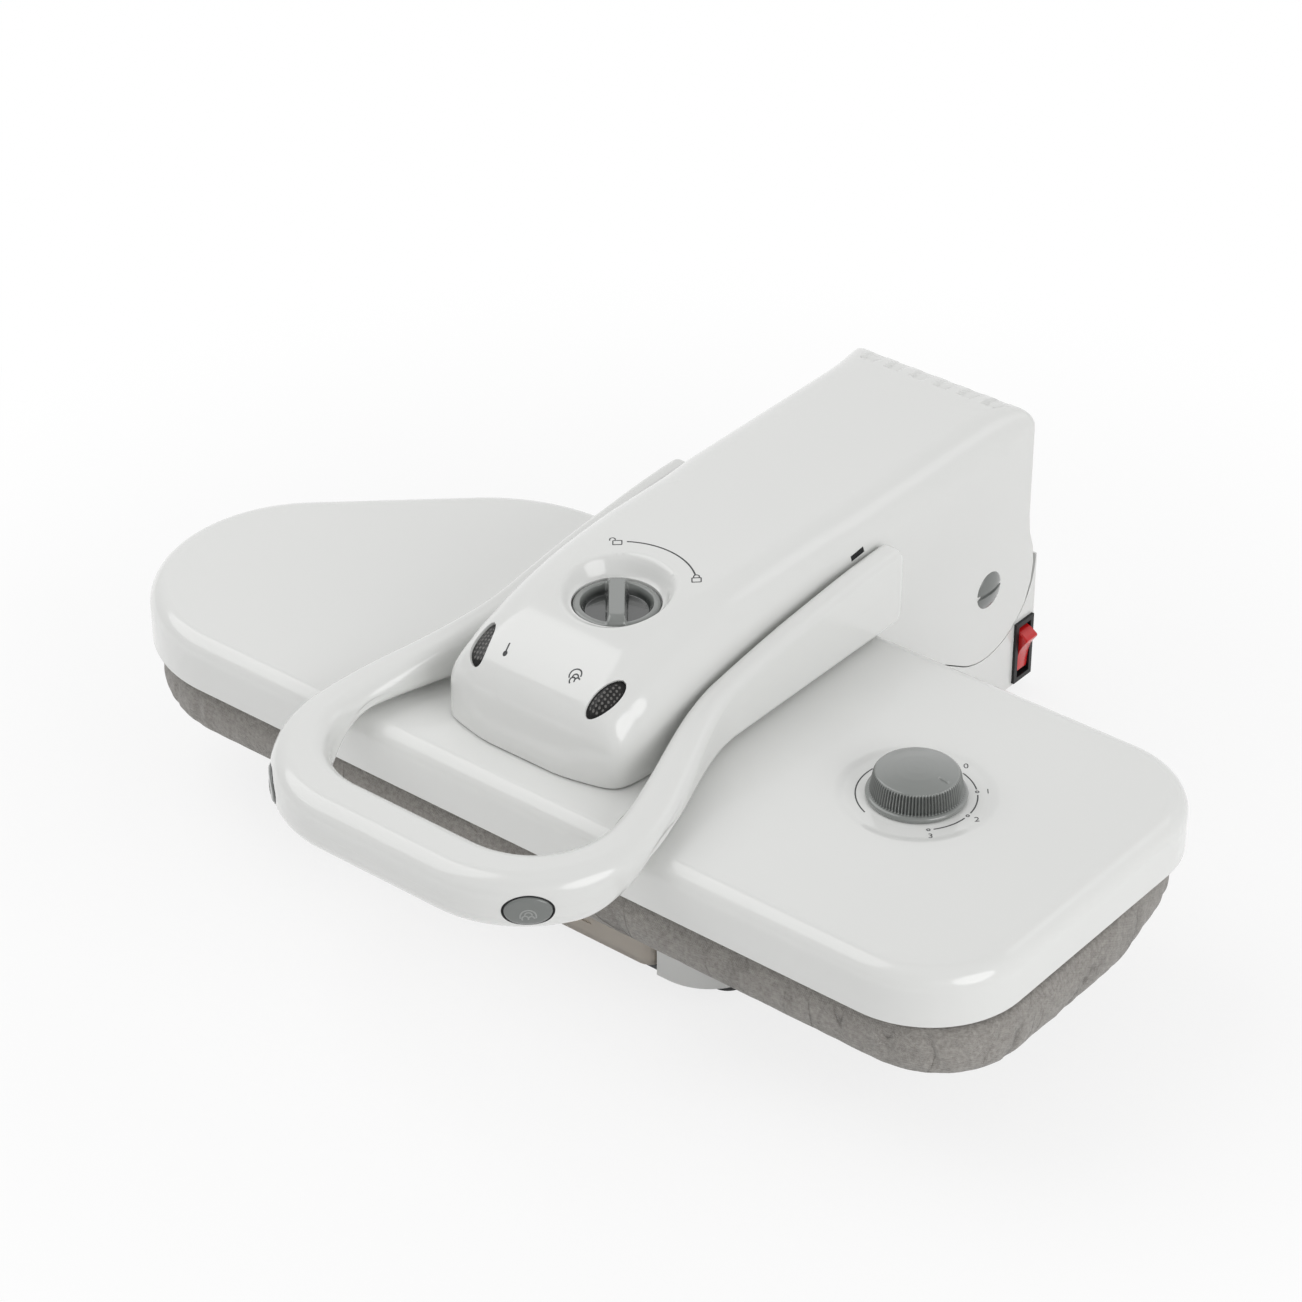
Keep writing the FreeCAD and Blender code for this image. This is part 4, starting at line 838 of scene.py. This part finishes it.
def buildScrews():
    # A low dome over a disc, cut by a straight slot through the middle, one on each side
    c = screw
    turn = fullTurn(c["points"])
    shares = np.concatenate([np.linspace(0, 0.92, 44), np.linspace(0.94, 1.0, 8)])
    r, a = np.meshgrid(shares * c["radius"], turn, indexing="ij")
    along, up = r * np.cos(a), r * np.sin(a)
    lean = math.radians(c["slotTurn"])
    off = np.abs(up * math.cos(lean) - along * math.sin(lean))
    out = c["edge"] * (1 - (r / c["radius"]) ** 16) + c["rise"] * (1 - (r / c["radius"]) ** 2)
    cut = 1 - ease(c["slot"], c["slot"] + c["slotSoft"], off)
    out = c["seat"] + out - c["slotDepth"] * cut
    skirt = np.array([[1.0], [0.0]])
    along, up = (np.concatenate([part, skirt * part[-1:]]) for part in (along, up))
    out = np.concatenate([out, np.full((2, len(turn)), c["seat"] - c["under"])])
    right = toFrame(out, c["middle"][0] + along, c["middle"][1] + up).reshape(-1, 3)
    faces = quads(*out.shape, True)
    makePiece("pivotScrews", "arm", rowSlots["pivot_screws"],
              np.concatenate([right, right * [-1, 1, 1]]), [faces, faces + len(right)],
              ["pivot_screws"], sharp=50)


buildScrews()

rocker = {"middle": (431.5, 32.0), "half": 6.0, "soft": 0.7, "core": (67.0, 0.0), "reach": 12,
          # out from the middle plane, up from the axis
          "profile": [(69.2, 15.8), (72.6, 14.2), (76.4, 11.6), (77.0, 10.8), (76.8, 9.6),
                      (74.4, 6.0), (72.2, 2.0), (70.8, -3.0), (70.0, -9.0), (69.6, -15.0),
                      (68.8, -15.5), (64.0, -15.5), (61.2, -5.0), (61.2, 5.0), (64.0, 15.5)]}


def buildRocker():
    # The side view carried across, drawn in a little at both ends
    c = rocker
    p = np.array(c["profile"])
    inner = p + (np.array(c["core"]) - p) * c["soft"] / c["reach"]
    across = np.array([-c["half"], c["soft"] - c["half"], 0, c["half"] - c["soft"], c["half"]])
    rows = np.stack([inner, p, p, p, inner])
    points = toFrame(rows[..., 0], c["middle"][0] + across[:, None], c["middle"][1] + rows[..., 1])
    size = rows.shape[:2]
    makePiece("powerRocker", "rocker", "red_plastic", points, [quads(*size, True), caps(*size)],
              ["power_rocker"], sharp=30)


buildRocker()
print("screws and rocker ready")

handle = {"armMid": 78.0, "rear": 277.0, "endLength": 7.0, "flareStart": 118.0, "flare": 29.0,
          "barMid": -75.0, "corner": 64.0, "bottom": 136.0, "top": 188.0, "barBottom": 115.0,
          "barHeight": 34.0, "shell": 4.0, "seam": 0.015, "dip": (14.0, -45.0), "places": 150,
          # how much narrower, lower and sharper the rear ends close
          "endWidth": 6, "endHeight": 12, "endEdge": 2.4, "sharp": 45,
          # y and the value there
          "widths": [(-75, 38), (-55, 34), (-20, 30), (20, 27), (61, 22), (118, 15)],
          "falls": [(-60, 1.0), (-11, 0.95), (40.6, 0.77), (88.3, 0.51), (127.5, 0.32),
                    (186.4, 0.13), (266, 0.0), (277, 0.0)],
          "edges": [(-75, 12.9), (0, 10.9), (118, 5.6)]}


def handlePlaces():
    # Middle line of the whole handle, evenly spaced, with the sideways direction and section at
    # each place
    h = handle
    cornerY = h["barMid"] + h["corner"]
    share = np.linspace(0, 1, 400)
    sway = np.stack([h["armMid"] + h["flare"] * share * share * (3 - 2 * share),
                     h["flareStart"] + (cornerY - h["flareStart"]) * share], -1)
    turn = np.radians(np.linspace(0, 90, 200))[1:]
    midX = h["armMid"] + h["flare"] - h["corner"]
    bend = np.stack([midX + h["corner"] * np.cos(turn), cornerY - h["corner"] * np.sin(turn)], -1)
    start = [[h["armMid"], h["rear"] - h["endLength"]]]
    line = np.concatenate([start, sway, bend, [[0, h["barMid"]]]])
    line = np.concatenate([line, line[-2::-1] * [-1, 1]])
    x, y = spaced(line, 2 * h["places"] + 1).T
    dx, dy = np.gradient(x), np.gradient(y)
    size = np.hypot(dx, dy)
    fall = (h["top"] - h["barBottom"] - h["barHeight"]) * follow(*zip(*h["falls"]), y)
    dip = ease(0, 1, (h["dip"][0] - y) / (h["dip"][0] - h["dip"][1]))
    return {"x": x, "y": y, "outX": -dy / size, "outY": dx / size,
            "width": follow(*zip(*h["widths"]), y), "edge": follow(*zip(*h["edges"]), y),
            "low": h["bottom"] - (h["bottom"] - h["barBottom"]) * dip, "top": h["top"] - fall}


handleLine = handlePlaces()


def handleBow(p, sign, inset):
    # Half a section, from the outer side of the seam over the crown to its inner side
    half = (p["width"] / 2 - inset)[:, None]
    middle = ((p["low"] + p["top"]) / 2)[:, None]
    level = middle + sign * ((p["top"] - p["low"]) / 2 - inset)[:, None]
    radius = np.maximum(p["edge"] - inset, 0.8)[:, None]
    turn = np.radians(np.linspace(0, 90, 10))[None]
    arcX = half - radius + radius * np.cos(turn)
    arcZ = level - sign * radius * (1 - np.sin(turn))
    seam = middle + sign * handle["seam"]
    crown = np.linspace(1, -1, 9)[None, 1:-1] * (half - radius)
    across = np.concatenate([half, arcX, crown, -arcX[:, ::-1], -half], 1)
    z = np.concatenate([seam, arcZ, level + 0 * crown, arcZ[:, ::-1], seam], 1)
    return across, z


def handleSkin(p, first, second):
    # Two half sections joined to a closed one, at every place of the middle line
    across, z = (np.concatenate([one, two[:, ::-1]], 1) for one, two in zip(first, second))
    return toFrame(p["x"][:, None] + across * p["outX"][:, None],
                   p["y"][:, None] + across * p["outY"][:, None], z)


def buildHandleShell(name, sign, node):
    # The outer half section, then the inner one back again, set in by the wall
    bows = (handleBow(handleLine, sign, inset) for inset in (0.0, handle["shell"]))
    points = handleSkin(handleLine, *bows)
    size = points.shape[:2]
    return makePiece(name, "handle", "white_plastic", points, [quads(*size, True), caps(*size)],
                     [node], sharp=handle["sharp"])


def buildHandleEnds():
    # The arm's full section, drawn in on a quarter round to a small flat end
    h = handle
    blocks, faces, count = [], [], 0
    turn = np.radians(np.linspace(0, 90, 12))
    drawn = 1 - np.cos(turn)
    for end in (0, -1):
        q = {key: np.repeat(line[end], len(turn)) for key, line in handleLine.items()}
        q["y"] = q["y"] + h["endLength"] * np.sin(turn)
        q["width"] = q["width"] - h["endWidth"] * drawn
        q["low"], q["top"] = q["low"] + h["endHeight"] * drawn, q["top"] - h["endHeight"] * drawn
        q["edge"] = q["edge"] - h["endEdge"] * drawn
        points = handleSkin(q, handleBow(q, 1, 0.0), handleBow(q, -1, 0.0))
        size = points.shape[:2]
        blocks.append(points.reshape(-1, 3))
        faces += [quads(*size, True, count), caps(*size, count)]
        count += size[0] * size[1]
    makePiece("handleEnds", "handle", "white_plastic", np.concatenate(blocks), faces,
              ["handle_ends"])


handleUpper = buildHandleShell("handleUpper", 1, "handle_upper")
handleLower = buildHandleShell("handleLower", -1, "handle_lower")
buildHandleEnds()
print("handle ready")


button = {"corner": (43.0, -11.0), "level": 131.2, "angle": 51.0, "long": 13.8, "short": 9.4,
          "proud": 1.0, "points": 72,
          # share of the oval and height over the handle's skin, from ring to ring
          "rings": (0, 0.25, 0.5, 0.7, 0.84, 0.92, 0.96, 0.975, 0.975, 0.5, 0.0),
          "lift": (1.0, 1.02, 1.05, 1.06, 1.0, 0.75, 0.3, -0.5, -5.0, -5.0, -5.0),
          "holeRings": (0.0, 0.97, 1.09, 0.0), "holeLift": (3.0, 3.0, -6.5, -6.5),
          # the black ring round each button, painted shade of the gap: its rings and lift
          "gapShadeRings": (0.995, 1.06, 1.06, 0.995, 0.995), "gapShadeLift": (0.18, 0.1, -0.8, -0.8, 0.18)}


def cornerSkin(angle, level):
    # How far the handle's outer side lies from the corner's middle, at an angle and a height
    p = handleLine
    half = p["width"] / 2
    x = p["x"] + p["outX"] * half - button["corner"][0]
    y = p["y"] + p["outY"] * half - button["corner"][1]
    bearing = np.arctan2(-y, x)
    use = (x > -40) & (y < 30) & (bearing > -0.2) & (bearing < 2.0)
    order = np.argsort(bearing[use])
    lines = (np.hypot(x, y), p["edge"], (p["low"] + p["top"]) / 2, (p["top"] - p["low"]) / 2)
    far, edge, middle, rise = (np.interp(angle, bearing[use][order], line[use][order])
                               for line in lines)
    over = np.clip(np.abs(level - middle) - (rise - edge), 0, edge * 0.995)
    return far - edge + np.sqrt(edge ** 2 - over ** 2)


def buttonSkin(side, rings, lift):
    # Ovals laid on the handle's rounded corner, lifted off it or sunk into it
    b = button
    around = fullTurn(b["points"])
    rings, lift = np.array(rings)[:, None], np.array(lift)[:, None]
    middle = math.radians(b["angle"])
    reach = float(cornerSkin(middle, b["level"]))
    angle = middle + b["long"] * rings * np.cos(around) / reach
    level = b["level"] + b["short"] * rings * np.sin(around)
    far = cornerSkin(angle, level) + lift
    x, y = b["corner"][0] + far * np.cos(angle), b["corner"][1] - far * np.sin(angle)
    return np.stack([side * x, y, level], -1)


def buildButton(side, name, body, node):
    # A low dome with a rounded edge, straight sides and a flat back
    lift = button["proud"] * np.array(button["lift"])
    points = placed(buttonSkin(side, button["rings"], lift))
    makePiece(name, body, "grey_plastic", points, [quads(*points.shape[:2], True)], [node],
              sharp=50)


def holePlug(side):
    return buttonSkin(side, button["holeRings"], button["holeLift"])


# A thin ring round the button's edge, drawn black: painted shade of the gap between button and
# handle
def buttonGapShade(side):
    return buttonSkin(side, button["gapShadeRings"], button["gapShadeLift"])


def cutButtonHoles(shell):
    # Oval holes through the handle's wall, opening inwards to let the buttons travel
    plugs = addObject("holePlugs", cleanMesh("holePlugs", *pair(holePlug)))
    cut = shell.modifiers.new("holes", "BOOLEAN")
    cut.object, cut.operation, cut.solver = plugs, "DIFFERENCE", "EXACT"
    applyModifiers(shell, handle["sharp"])
    bpy.data.objects.remove(plugs)


cutButtonHoles(handleUpper)
cutButtonHoles(handleLower)
buildButton(1, "buttonRight", "button_right", "steam_button_right")
buildButton(-1, "buttonLeft", "button_left", "steam_button_left")
# Black rings in the gaps round the buttons: painted shade
makePiece("buttonGapShades", "handle", "black_plastic", *pair(buttonGapShade))   # thin dark bands
print("steam buttons ready")


board = {"inset": 5.0, "low": 64.5, "high": 96.0, "tuck": 26.0, "reach": 50.0, "points": 360,
         "bulge": 7, "bulgeShape": 0.7, "voxel": 0.004, "held": 1.5, "pressure": 4.0, "steps": 20,
         "cap": 0.003, "creases": 3.2, "outline": 720, "sideDepth": (0.012, 0.02),
         # how much fuller the right end is, where that starts and ends, and where it fades
         # towards the back
         "fuller": 7.5, "fullerX": (180.0, 310.0), "fullerY": (150.0, 220.0), "slack": 1.35,
         # place along the right side, slant, depth
         "pleats": ((57.0, 9.0, 2.6), (115.0, 52.0, 3.2), (128.0, 40.0, 1.4)), "pleatX": 0.27}


def buildBoard():
    # The plan carried up a side that bulges in the middle and turns in at both edges, closed
    # above and below
    b = board
    turn = np.linspace(-np.pi / 2, np.pi / 2, 15)
    middle, rise = (b["low"] + b["high"]) / 2, (b["high"] - b["low"]) / 2
    sides = b["inset"] + b["bulge"] * (1 - np.cos(turn) ** b["bulgeShape"])
    insets = np.concatenate([[b["reach"], b["tuck"]], sides, [b["tuck"], b["reach"]]])
    heights = np.concatenate([[b["low"]] * 2, middle + rise * np.sin(turn), [b["high"]] * 2])
    outline = planOutline(b["points"])
    xy = outline[None] + runAndInward(outline)[1][None] * insets[:, None, None]
    fade = 1 - b["slack"] * ease(*b["fullerY"], xy[..., 1])
    xy[..., 0] = xy[..., 0] + b["fuller"] * ease(*b["fullerX"], xy[..., 0]) * fade
    points = toFrame(xy[..., 0], xy[..., 1], heights[:, None])
    size = xy.shape[:2]
    return makePiece("boardCover", "base", "cover_cloth", points,
                     [quads(*size, True), caps(*size)], ["board_cover", "board_pad"], sharp=180)


def swellBoard(piece):
    # Cloth under slight pressure, held where the plate and the pan press on it
    b = board
    bpy.context.view_layer.objects.active = piece
    piece.select_set(True)
    piece.data.remesh_voxel_size = b["voxel"]
    bpy.ops.object.voxel_remesh()
    rest = readPoints(piece.data)
    held = piece.vertex_groups.new(name="held")
    pressed = ((rest[:, 2] > (b["high"] - b["held"]) * 0.001)
               | (rest[:, 2] < (b["low"] + b["held"]) * 0.001))
    held.add(np.nonzero(pressed)[0].tolist(), 1.0, "REPLACE")
    cloth = piece.modifiers.new("cloth", "CLOTH")
    cloth.settings.use_pressure = True
    cloth.settings.uniform_pressure_force = b["pressure"]
    cloth.settings.vertex_group_mass = "held"
    cloth.settings.effector_weights.gravity = 0
    scene = bpy.context.scene
    for moment in range(1, b["steps"] + 1):
        scene.frame_set(moment)
    shown = piece.evaluated_get(bpy.context.evaluated_depsgraph_get())
    shift = readPoints(shown.to_mesh()) - rest
    shown.to_mesh_clear()
    piece.modifiers.remove(cloth)
    scene.frame_set(1)
    size = np.linalg.norm(shift, axis=1)[:, None]
    writePoints(piece.data, rest + shift * np.minimum(1, b["cap"] / np.maximum(size, 1e-9)))


def creaseBoard(piece):
    # Folds pulled round the edge: narrow valleys along the side, closer together at the corners,
    # and a few deep pleats on the right side
    b = board
    co = readPoints(piece.data)
    places = toFrame(*planOutline(b["outline"]).T, 0)[:, :2]
    near = np.concatenate([((part[:, None] - places[None]) ** 2).sum(-1).argmin(1)
                           for part in np.array_split(co[:, :2], 40)])
    run, inward = runAndInward(places)
    inward = inward[near]
    depth = ((co[:, :2] - places[near]) * inward).sum(1)
    along = near / b["outline"] * 2 * np.pi
    level = (co[:, 2] * 1000 - b["low"]) / (b["high"] - b["low"])
    curve = np.linalg.norm(np.roll(run, -6, 0) - np.roll(run, 6, 0), axis=1)[near]
    drag = along + 0.05 * (level - 0.5) * np.sin(along * 7)
    folds = (np.sin(drag * 61 + 1.3 * np.sin(along * 9)) * np.sin(drag * 23 + 0.7)
             + 0.6 * np.sin(drag * 137 + 2.1 * np.sin(along * 17)) * np.sin(along * 31 + 0.4))
    valley = np.clip(np.abs(folds) - 0.35, 0, 1) ** 1.3
    outside = 1 - ease(*b["sideDepth"], depth)
    side = outside * np.sin(np.pi * np.clip(level, 0, 1)) ** 0.5
    push = 0.001 * b["creases"] * valley * side * (0.55 + 1.1 * curve)
    low = ease(0.0, 0.12, level) * (1 - ease(0.5, 0.75, level)) * (co[:, 0] > b["pleatX"]) * outside
    # How strong each pleat line is, kept for the cloth's colour to darken there: painted shade in
    # the pleats
    shadedFold = np.zeros(len(co))
    for place, slant, deep in b["pleats"]:
        off = co[:, 1] * 1000 + backShift - place - slant * (level - 0.3)
        line = np.exp(-(off / 2.4) ** 2) * low
        push += 0.001 * deep * (line - 0.5 * np.exp(-((off + 5) / 3.5) ** 2) * low)
        shadedFold = np.maximum(shadedFold, line * deep / 3)
    writeValues(piece, "shadedFold", shadedFold)
    co[:, :2] += inward * push[:, None]
    writePoints(piece.data, co)
    piece.data.shade_smooth()


boardCover = buildBoard()
swellBoard(boardCover)
creaseBoard(boardCover)
smoother = boardCover.modifiers.new("smoother", "SUBSURF")
smoother.levels = smoother.render_levels = 1
print("padded board ready")


marks = {"lift": 0.08, "thick": 0.12, "line": 1.0, "lockRadius": 45.5, "lockArc": (122.0, 51.0),
         "scale": 34.0, "scaleLine": 0.8, "dot": 0.9, "dotLine": 0.6, "labelRadius": 40.0,
         "labels": [("0", 82.0), ("1", 43.0), ("2", 2.0), ("3", -43.0)], "labelSize": 0.0062,
         "scaleArcs": [(172.0, 249.0), (76.0, 47.0), (38.0, 7.0), (-3.0, -38.0)],
         "labelLift": 0.02, "turn": 39,
         # size and line width of the padlocks; place, turn, size and line width of the others
         "padlock": (2.6, 0.7), "heat": ((-26.8, 50.4), 12, 1.35, 0.9),
         "steam": ((21.8, 51.9), 25, 2.2, 0.8), "buttonLine": 0.8,
         # path and width of the black strip over the casing's slot, painted shade
         "slot": ((246.5, 187.0), (258.0, 188.6)), "slotShadeWidth": 3.4}


def onCasing(p, level):
    # On the casing's top, as if it had no bowl
    return np.column_stack([p, casingHeight(p[:, 0], p[:, 1]) + level])


def onDish(p, level):
    # On the cover and in the dial's dish
    away = np.hypot(p[:, 0] - cover["dial"][0], p[:, 1] - cover["dial"][1])
    sunk = 1 - ease(cover["dish"] - cover["dishSlope"], cover["dish"], away)
    return np.column_stack([p, cover["top"] - cover["dishDepth"] * sunk + level])


def onSide(side):
    # Along and up on the casing's side wall, where the top edge begins to turn in
    def place(p, level):
        half, top, edge = casingAt(p[:, 0])
        over = np.clip(p[:, 1] - (top - edge), 0, edge)
        return np.column_stack([side * (half - edge + np.sqrt(edge ** 2 - over ** 2) + level), p])
    return place


def onButton(side):
    # Along and up on a button's face
    def place(p, level):
        b = button
        middle = math.radians(b["angle"])
        angle = middle - side * p[:, 0] / float(cornerSkin(middle, b["level"]))
        far = cornerSkin(angle, b["level"] + p[:, 1]) + b["proud"] * 1.05 + level
        x, y = b["corner"][0] + far * np.cos(angle), b["corner"][1] - far * np.sin(angle)
        return np.column_stack([side * x, y, b["level"] + p[:, 1]])
    return place


def ribbon(path, width, place):
    # A thin closed strip along a flat path; place puts its points on a surface, raised by a level
    run = np.gradient(path, axis=0)
    run = run / np.linalg.norm(run, axis=1)[:, None]
    side = np.stack([-run[:, 1], run[:, 0]], -1) * width / 2
    left, right = path + side, path - side
    up, down = marks["lift"], marks["lift"] - marks["thick"]
    corners = [(left, up), (right, up), (right, down), (left, down)]
    rows = np.stack([place(p, level) for p, level in corners], 1)
    size = rows.shape[:2]
    return rows.reshape(-1, 3), quads(*size, True).tolist() + caps(*size)


def joinBlocks(name, body, blocks, finish, slot="black_plastic"):
    # One piece from several closed shapes, each with its points and the corners of its faces
    points, faces, count = [], [], 0
    for rows, corners in blocks:
        points.append(rows)
        faces.append([[corner + count for corner in face] for face in corners])
        count += len(rows)
    makePiece(name, body, slot, placed(np.concatenate(points)), faces, finish=finish)


def turned(path, middle, angle, size):
    # A small drawing, sized, turned and put in place
    a = math.radians(angle)
    spin = np.array([[math.cos(a), math.sin(a)], [-math.sin(a), math.cos(a)]])
    return path * size @ spin + np.asarray(middle)


def padlock(opened):
    # Box and shackle as lines in a square of about 2 by 3
    boxLine = [(-1, -1.2), (1, -1.2), (1, 0.4), (-1, 0.4), (-1, -1.2), (-0.8, -1.2)]
    hoop = arcPath((-1.1 if opened else 0.0, 0.9), 0.62, 180, 0, 12)
    legs = [[[hoop[0, 0], 0.45]], [[hoop[-1, 0], 0.7 if opened else 0.45]]]
    return [spaced(boxLine, 40), np.concatenate([legs[0], hoop, legs[1]])]


def buildCasingMarks():
    # The lock's arc with an open and a closed padlock, a thermometer and a steam cloud
    m = marks
    lockArc = arcPath(casing["knob"], m["lockRadius"], *m["lockArc"], 60)
    strips = [ribbon(lockArc, m["line"], onCasing)]
    size, width = m["padlock"]
    for angle, opened in ((m["lockArc"][0] + 7, True), (m["lockArc"][1] - 5, False)):
        spot = arcPath(casing["knob"], m["lockRadius"], angle, angle, 1)[0]
        strips += [ribbon(turned(line, spot, m["turn"], size), width, onCasing)
                   for line in padlock(opened)]
    heat = [spaced([(0, -1.2), (0, 2.6)], 12), arcPath((0, -1.7), 0.7, 100, -250, 24),
            arcPath((0, -1.7), 0.3, 0, 350, 16)]
    steam = [arcPath((0.0, 0.4), 1.6, 200, -20, 26), arcPath((-0.5, -0.9), 0.75, 230, 30, 14),
             arcPath((0.75, -1.1), 0.7, 200, 10, 14), arcPath((0.1, -0.2), 0.8, 190, 0, 14)]
    for drawing, (spot, angle, size, width) in ((heat, m["heat"]), (steam, m["steam"])):
        strips += [ribbon(turned(line, spot, angle, size), width, onCasing) for line in drawing]
    joinBlocks("casingMarks", "arm", strips, inkPrint)


def buildDialMarks():
    # Arcs round the dial, with a small ring where each numeral stands
    m = marks
    middle = cover["dial"]
    strips = [ribbon(arcPath(middle, m["scale"], *arc, 40), m["scaleLine"], onDish)
              for arc in m["scaleArcs"]]
    for _, angle in m["labels"]:
        spot = arcPath(middle, m["scale"], angle, angle, 1)[0]
        strips.append(ribbon(arcPath(spot, m["dot"], 0, 350, 20), m["dotLine"], onDish))
    joinBlocks("dialMarks", "arm", strips, inkPrint)


def buildDialNumbers():
    # Numerals laid flat on the dish, read from the front right
    m = marks
    numerals = []
    for text, angle in m["labels"]:
        curve = bpy.data.curves.new("numeral" + text, "FONT")
        curve.body = text
        curve.size = m["labelSize"]
        curve.align_x, curve.align_y = "CENTER", "CENTER"
        curve.extrude = m["thick"] * 0.0005
        holder = addObject("numeral" + text, curve)
        mesh = workedOut(holder)
        bpy.data.objects.remove(holder)
        co = readPoints(mesh) * 1000
        spot = arcPath(cover["dial"], m["labelRadius"], angle, angle, 1)[0]
        lie = onDish(turned(co[:, :2], spot, m["turn"], 1), co[:, 2] + m["labelLift"])
        numerals.append((lie, [list(face.vertices) for face in mesh.polygons]))
    joinBlocks("dialNumbers", "arm", numerals, inkPrint)


def buildButtonMark(side, name, body):
    # Raised steam cloud: a wide arch over small curls, in a paler grey as painted highlight
    puffs = [arcPath((0, -2.6), 4.3, 195, -15, 30), arcPath((-1.6, -3.8), 1.7, 220, 20, 16),
             arcPath((1.7, -4.0), 1.6, 200, 0, 16), arcPath((0.1, -1.8), 2.0, 190, 0, 16)]
    strips = [ribbon(line, marks["buttonLine"], onButton(side)) for line in puffs]
    joinBlocks(name, body, strips, reliefHighlightGrey, "grey_plastic")


buildCasingMarks()
buildDialMarks()
buildDialNumbers()
buildButtonMark(1, "buttonMarkRight", "button_right")
buildButtonMark(-1, "buttonMarkLeft", "button_left")
# A black strip on each side wall of the casing, in place of the slot by the handle's rear end:
# painted shade of the slot's opening
slotShadePath = spaced(marks["slot"], 12)
joinBlocks("casingSlotShade", "arm",
           [ribbon(slotShadePath, marks["slotShadeWidth"], onSide(side)) for side in (-1, 1)],
           looks["black_plastic"])
print("printed marks ready")


camera = {"place": (1.2346, -1.5518, 1.4307), "look": (-0.1164, 0.1132, 0.0254), "lens": 111.95}
studio = {"sky": 0.51, "shade": 0.5, "dark": (-0.62, -0.74, 0.10), "ceiling": 0.6,
          # place, size and power
          "lamps": {"sideLight": ((2.7, -0.4, 1.3), 2.0, 28.0),
                    "topLight": ((-1.5, -0.6, 2.1), 2.7, 27.0),
                    "edgeLight": ((1.0, 1.7, 1.75), 0.9, 1.2)},
          "lampLook": (0, 0, 0.1), "reach": 6.0, "floor": (0.95, 0.95, 0.95),
          "floorDark": (0.92, 0.92, 0.92), "plain": (0.38, 0.75), "veil": 0.8}


def addAimed(name, data, place, look):
    holder = addObject(name, data)
    holder.location = place
    aim = Vector(look) - Vector(place)
    holder.rotation_euler = aim.to_track_quat("-Z", "Y").to_euler()
    return holder


def buildCamera():
    data = bpy.data.cameras.new("camera")
    data.lens, data.sensor_width = camera["lens"], 36.0
    data.clip_end = 20
    bpy.context.scene.camera = addAimed("camera", data, camera["place"], camera["look"])


def buildLamps():
    for name, (place, size, power) in studio["lamps"].items():
        data = bpy.data.lights.new(name, "AREA")
        data.shape, data.size, data.energy = "DISK", size, power
        addAimed(name, data, place, studio["lampLook"])


def buildWorld():
    # White to the eye; reflections see it dimmer on the shaded side and overhead
    world = bpy.data.worlds.new("studio")
    bpy.context.scene.world = world
    world.use_nodes = True
    world.node_tree.nodes.clear()
    flow = Flow(world.node_tree)
    eye = flow.make("ShaderNodeLightPath", {}, {})
    glossy, through = eye.beside("Is Glossy Ray"), eye.beside("Is Transmission Ray")
    way = flow.make("ShaderNodeTexCoord", {}, {}, 0)
    facing = flow.make("ShaderNodeVectorMath", {"operation": "DOT_PRODUCT"},
                       {0: way, 1: studio["dark"]}, 1)
    dim = facing.stretch(0.0, 0.9, 1.0, studio["shade"], "SMOOTHSTEP")
    rise = flow.make("ShaderNodeSeparateXYZ", {}, {"Vector": way}, 2)
    above = rise.stretch(0.55, 0.85, 1.0, studio["ceiling"], "SMOOTHSTEP")
    light = (1 - eye - glossy - through) * studio["sky"]
    strength = light + eye + through + glossy * dim * above
    backdrop = flow.make("ShaderNodeBackground", {}, {"Color": (1, 1, 1, 1), "Strength": strength})
    flow.make("ShaderNodeOutputWorld", {}, {"Surface": backdrop}, None)


def buildFloor():
    # Pale paper that keeps the shadow and turns plain white away from the object
    reach = studio["reach"]
    mesh = bpy.data.meshes.new("floor")
    mesh.from_pydata([(-reach, -reach, 0), (reach, -reach, 0), (reach, reach, 0),
                      (-reach, reach, 0)], [], [(0, 1, 2, 3)])
    material, flow, where, shader = startFinish("floorPaper", {"Roughness": 0.9})
    tone = noise(flow, where, 5.0).blend(studio["floorDark"], studio["floor"])
    plug(flow, shader, Base_Color=tone)
    eye = flow.make("ShaderNodeLightPath", {}, {})
    seen = eye + eye.beside("Is Glossy Ray") + eye.beside("Is Transmission Ray")
    away = flow.make("ShaderNodeVectorMath", {"operation": "LENGTH"}, {0: where}, 1)
    plain = away.stretch(*studio["plain"], studio["veil"], 1.0, "SMOOTHSTEP")
    white = flow.make("ShaderNodeEmission", {}, {"Color": (1, 1, 1, 1), "Strength": 1.0})
    paper = flow.make("ShaderNodeMixShader", {},
                      {0: seen * plain, 1: Flow(flow.tree, shader.outputs[0]), 2: white})
    flow.tree.links.new(paper.socket, flow.tree.nodes["Material Output"].inputs[0])
    mesh.materials.append(material)
    addObject("floor", mesh)


buildCamera()
buildWorld()
buildLamps()
buildFloor()
bpy.context.scene.view_settings.view_transform = "Standard"
print("camera and studio ready")
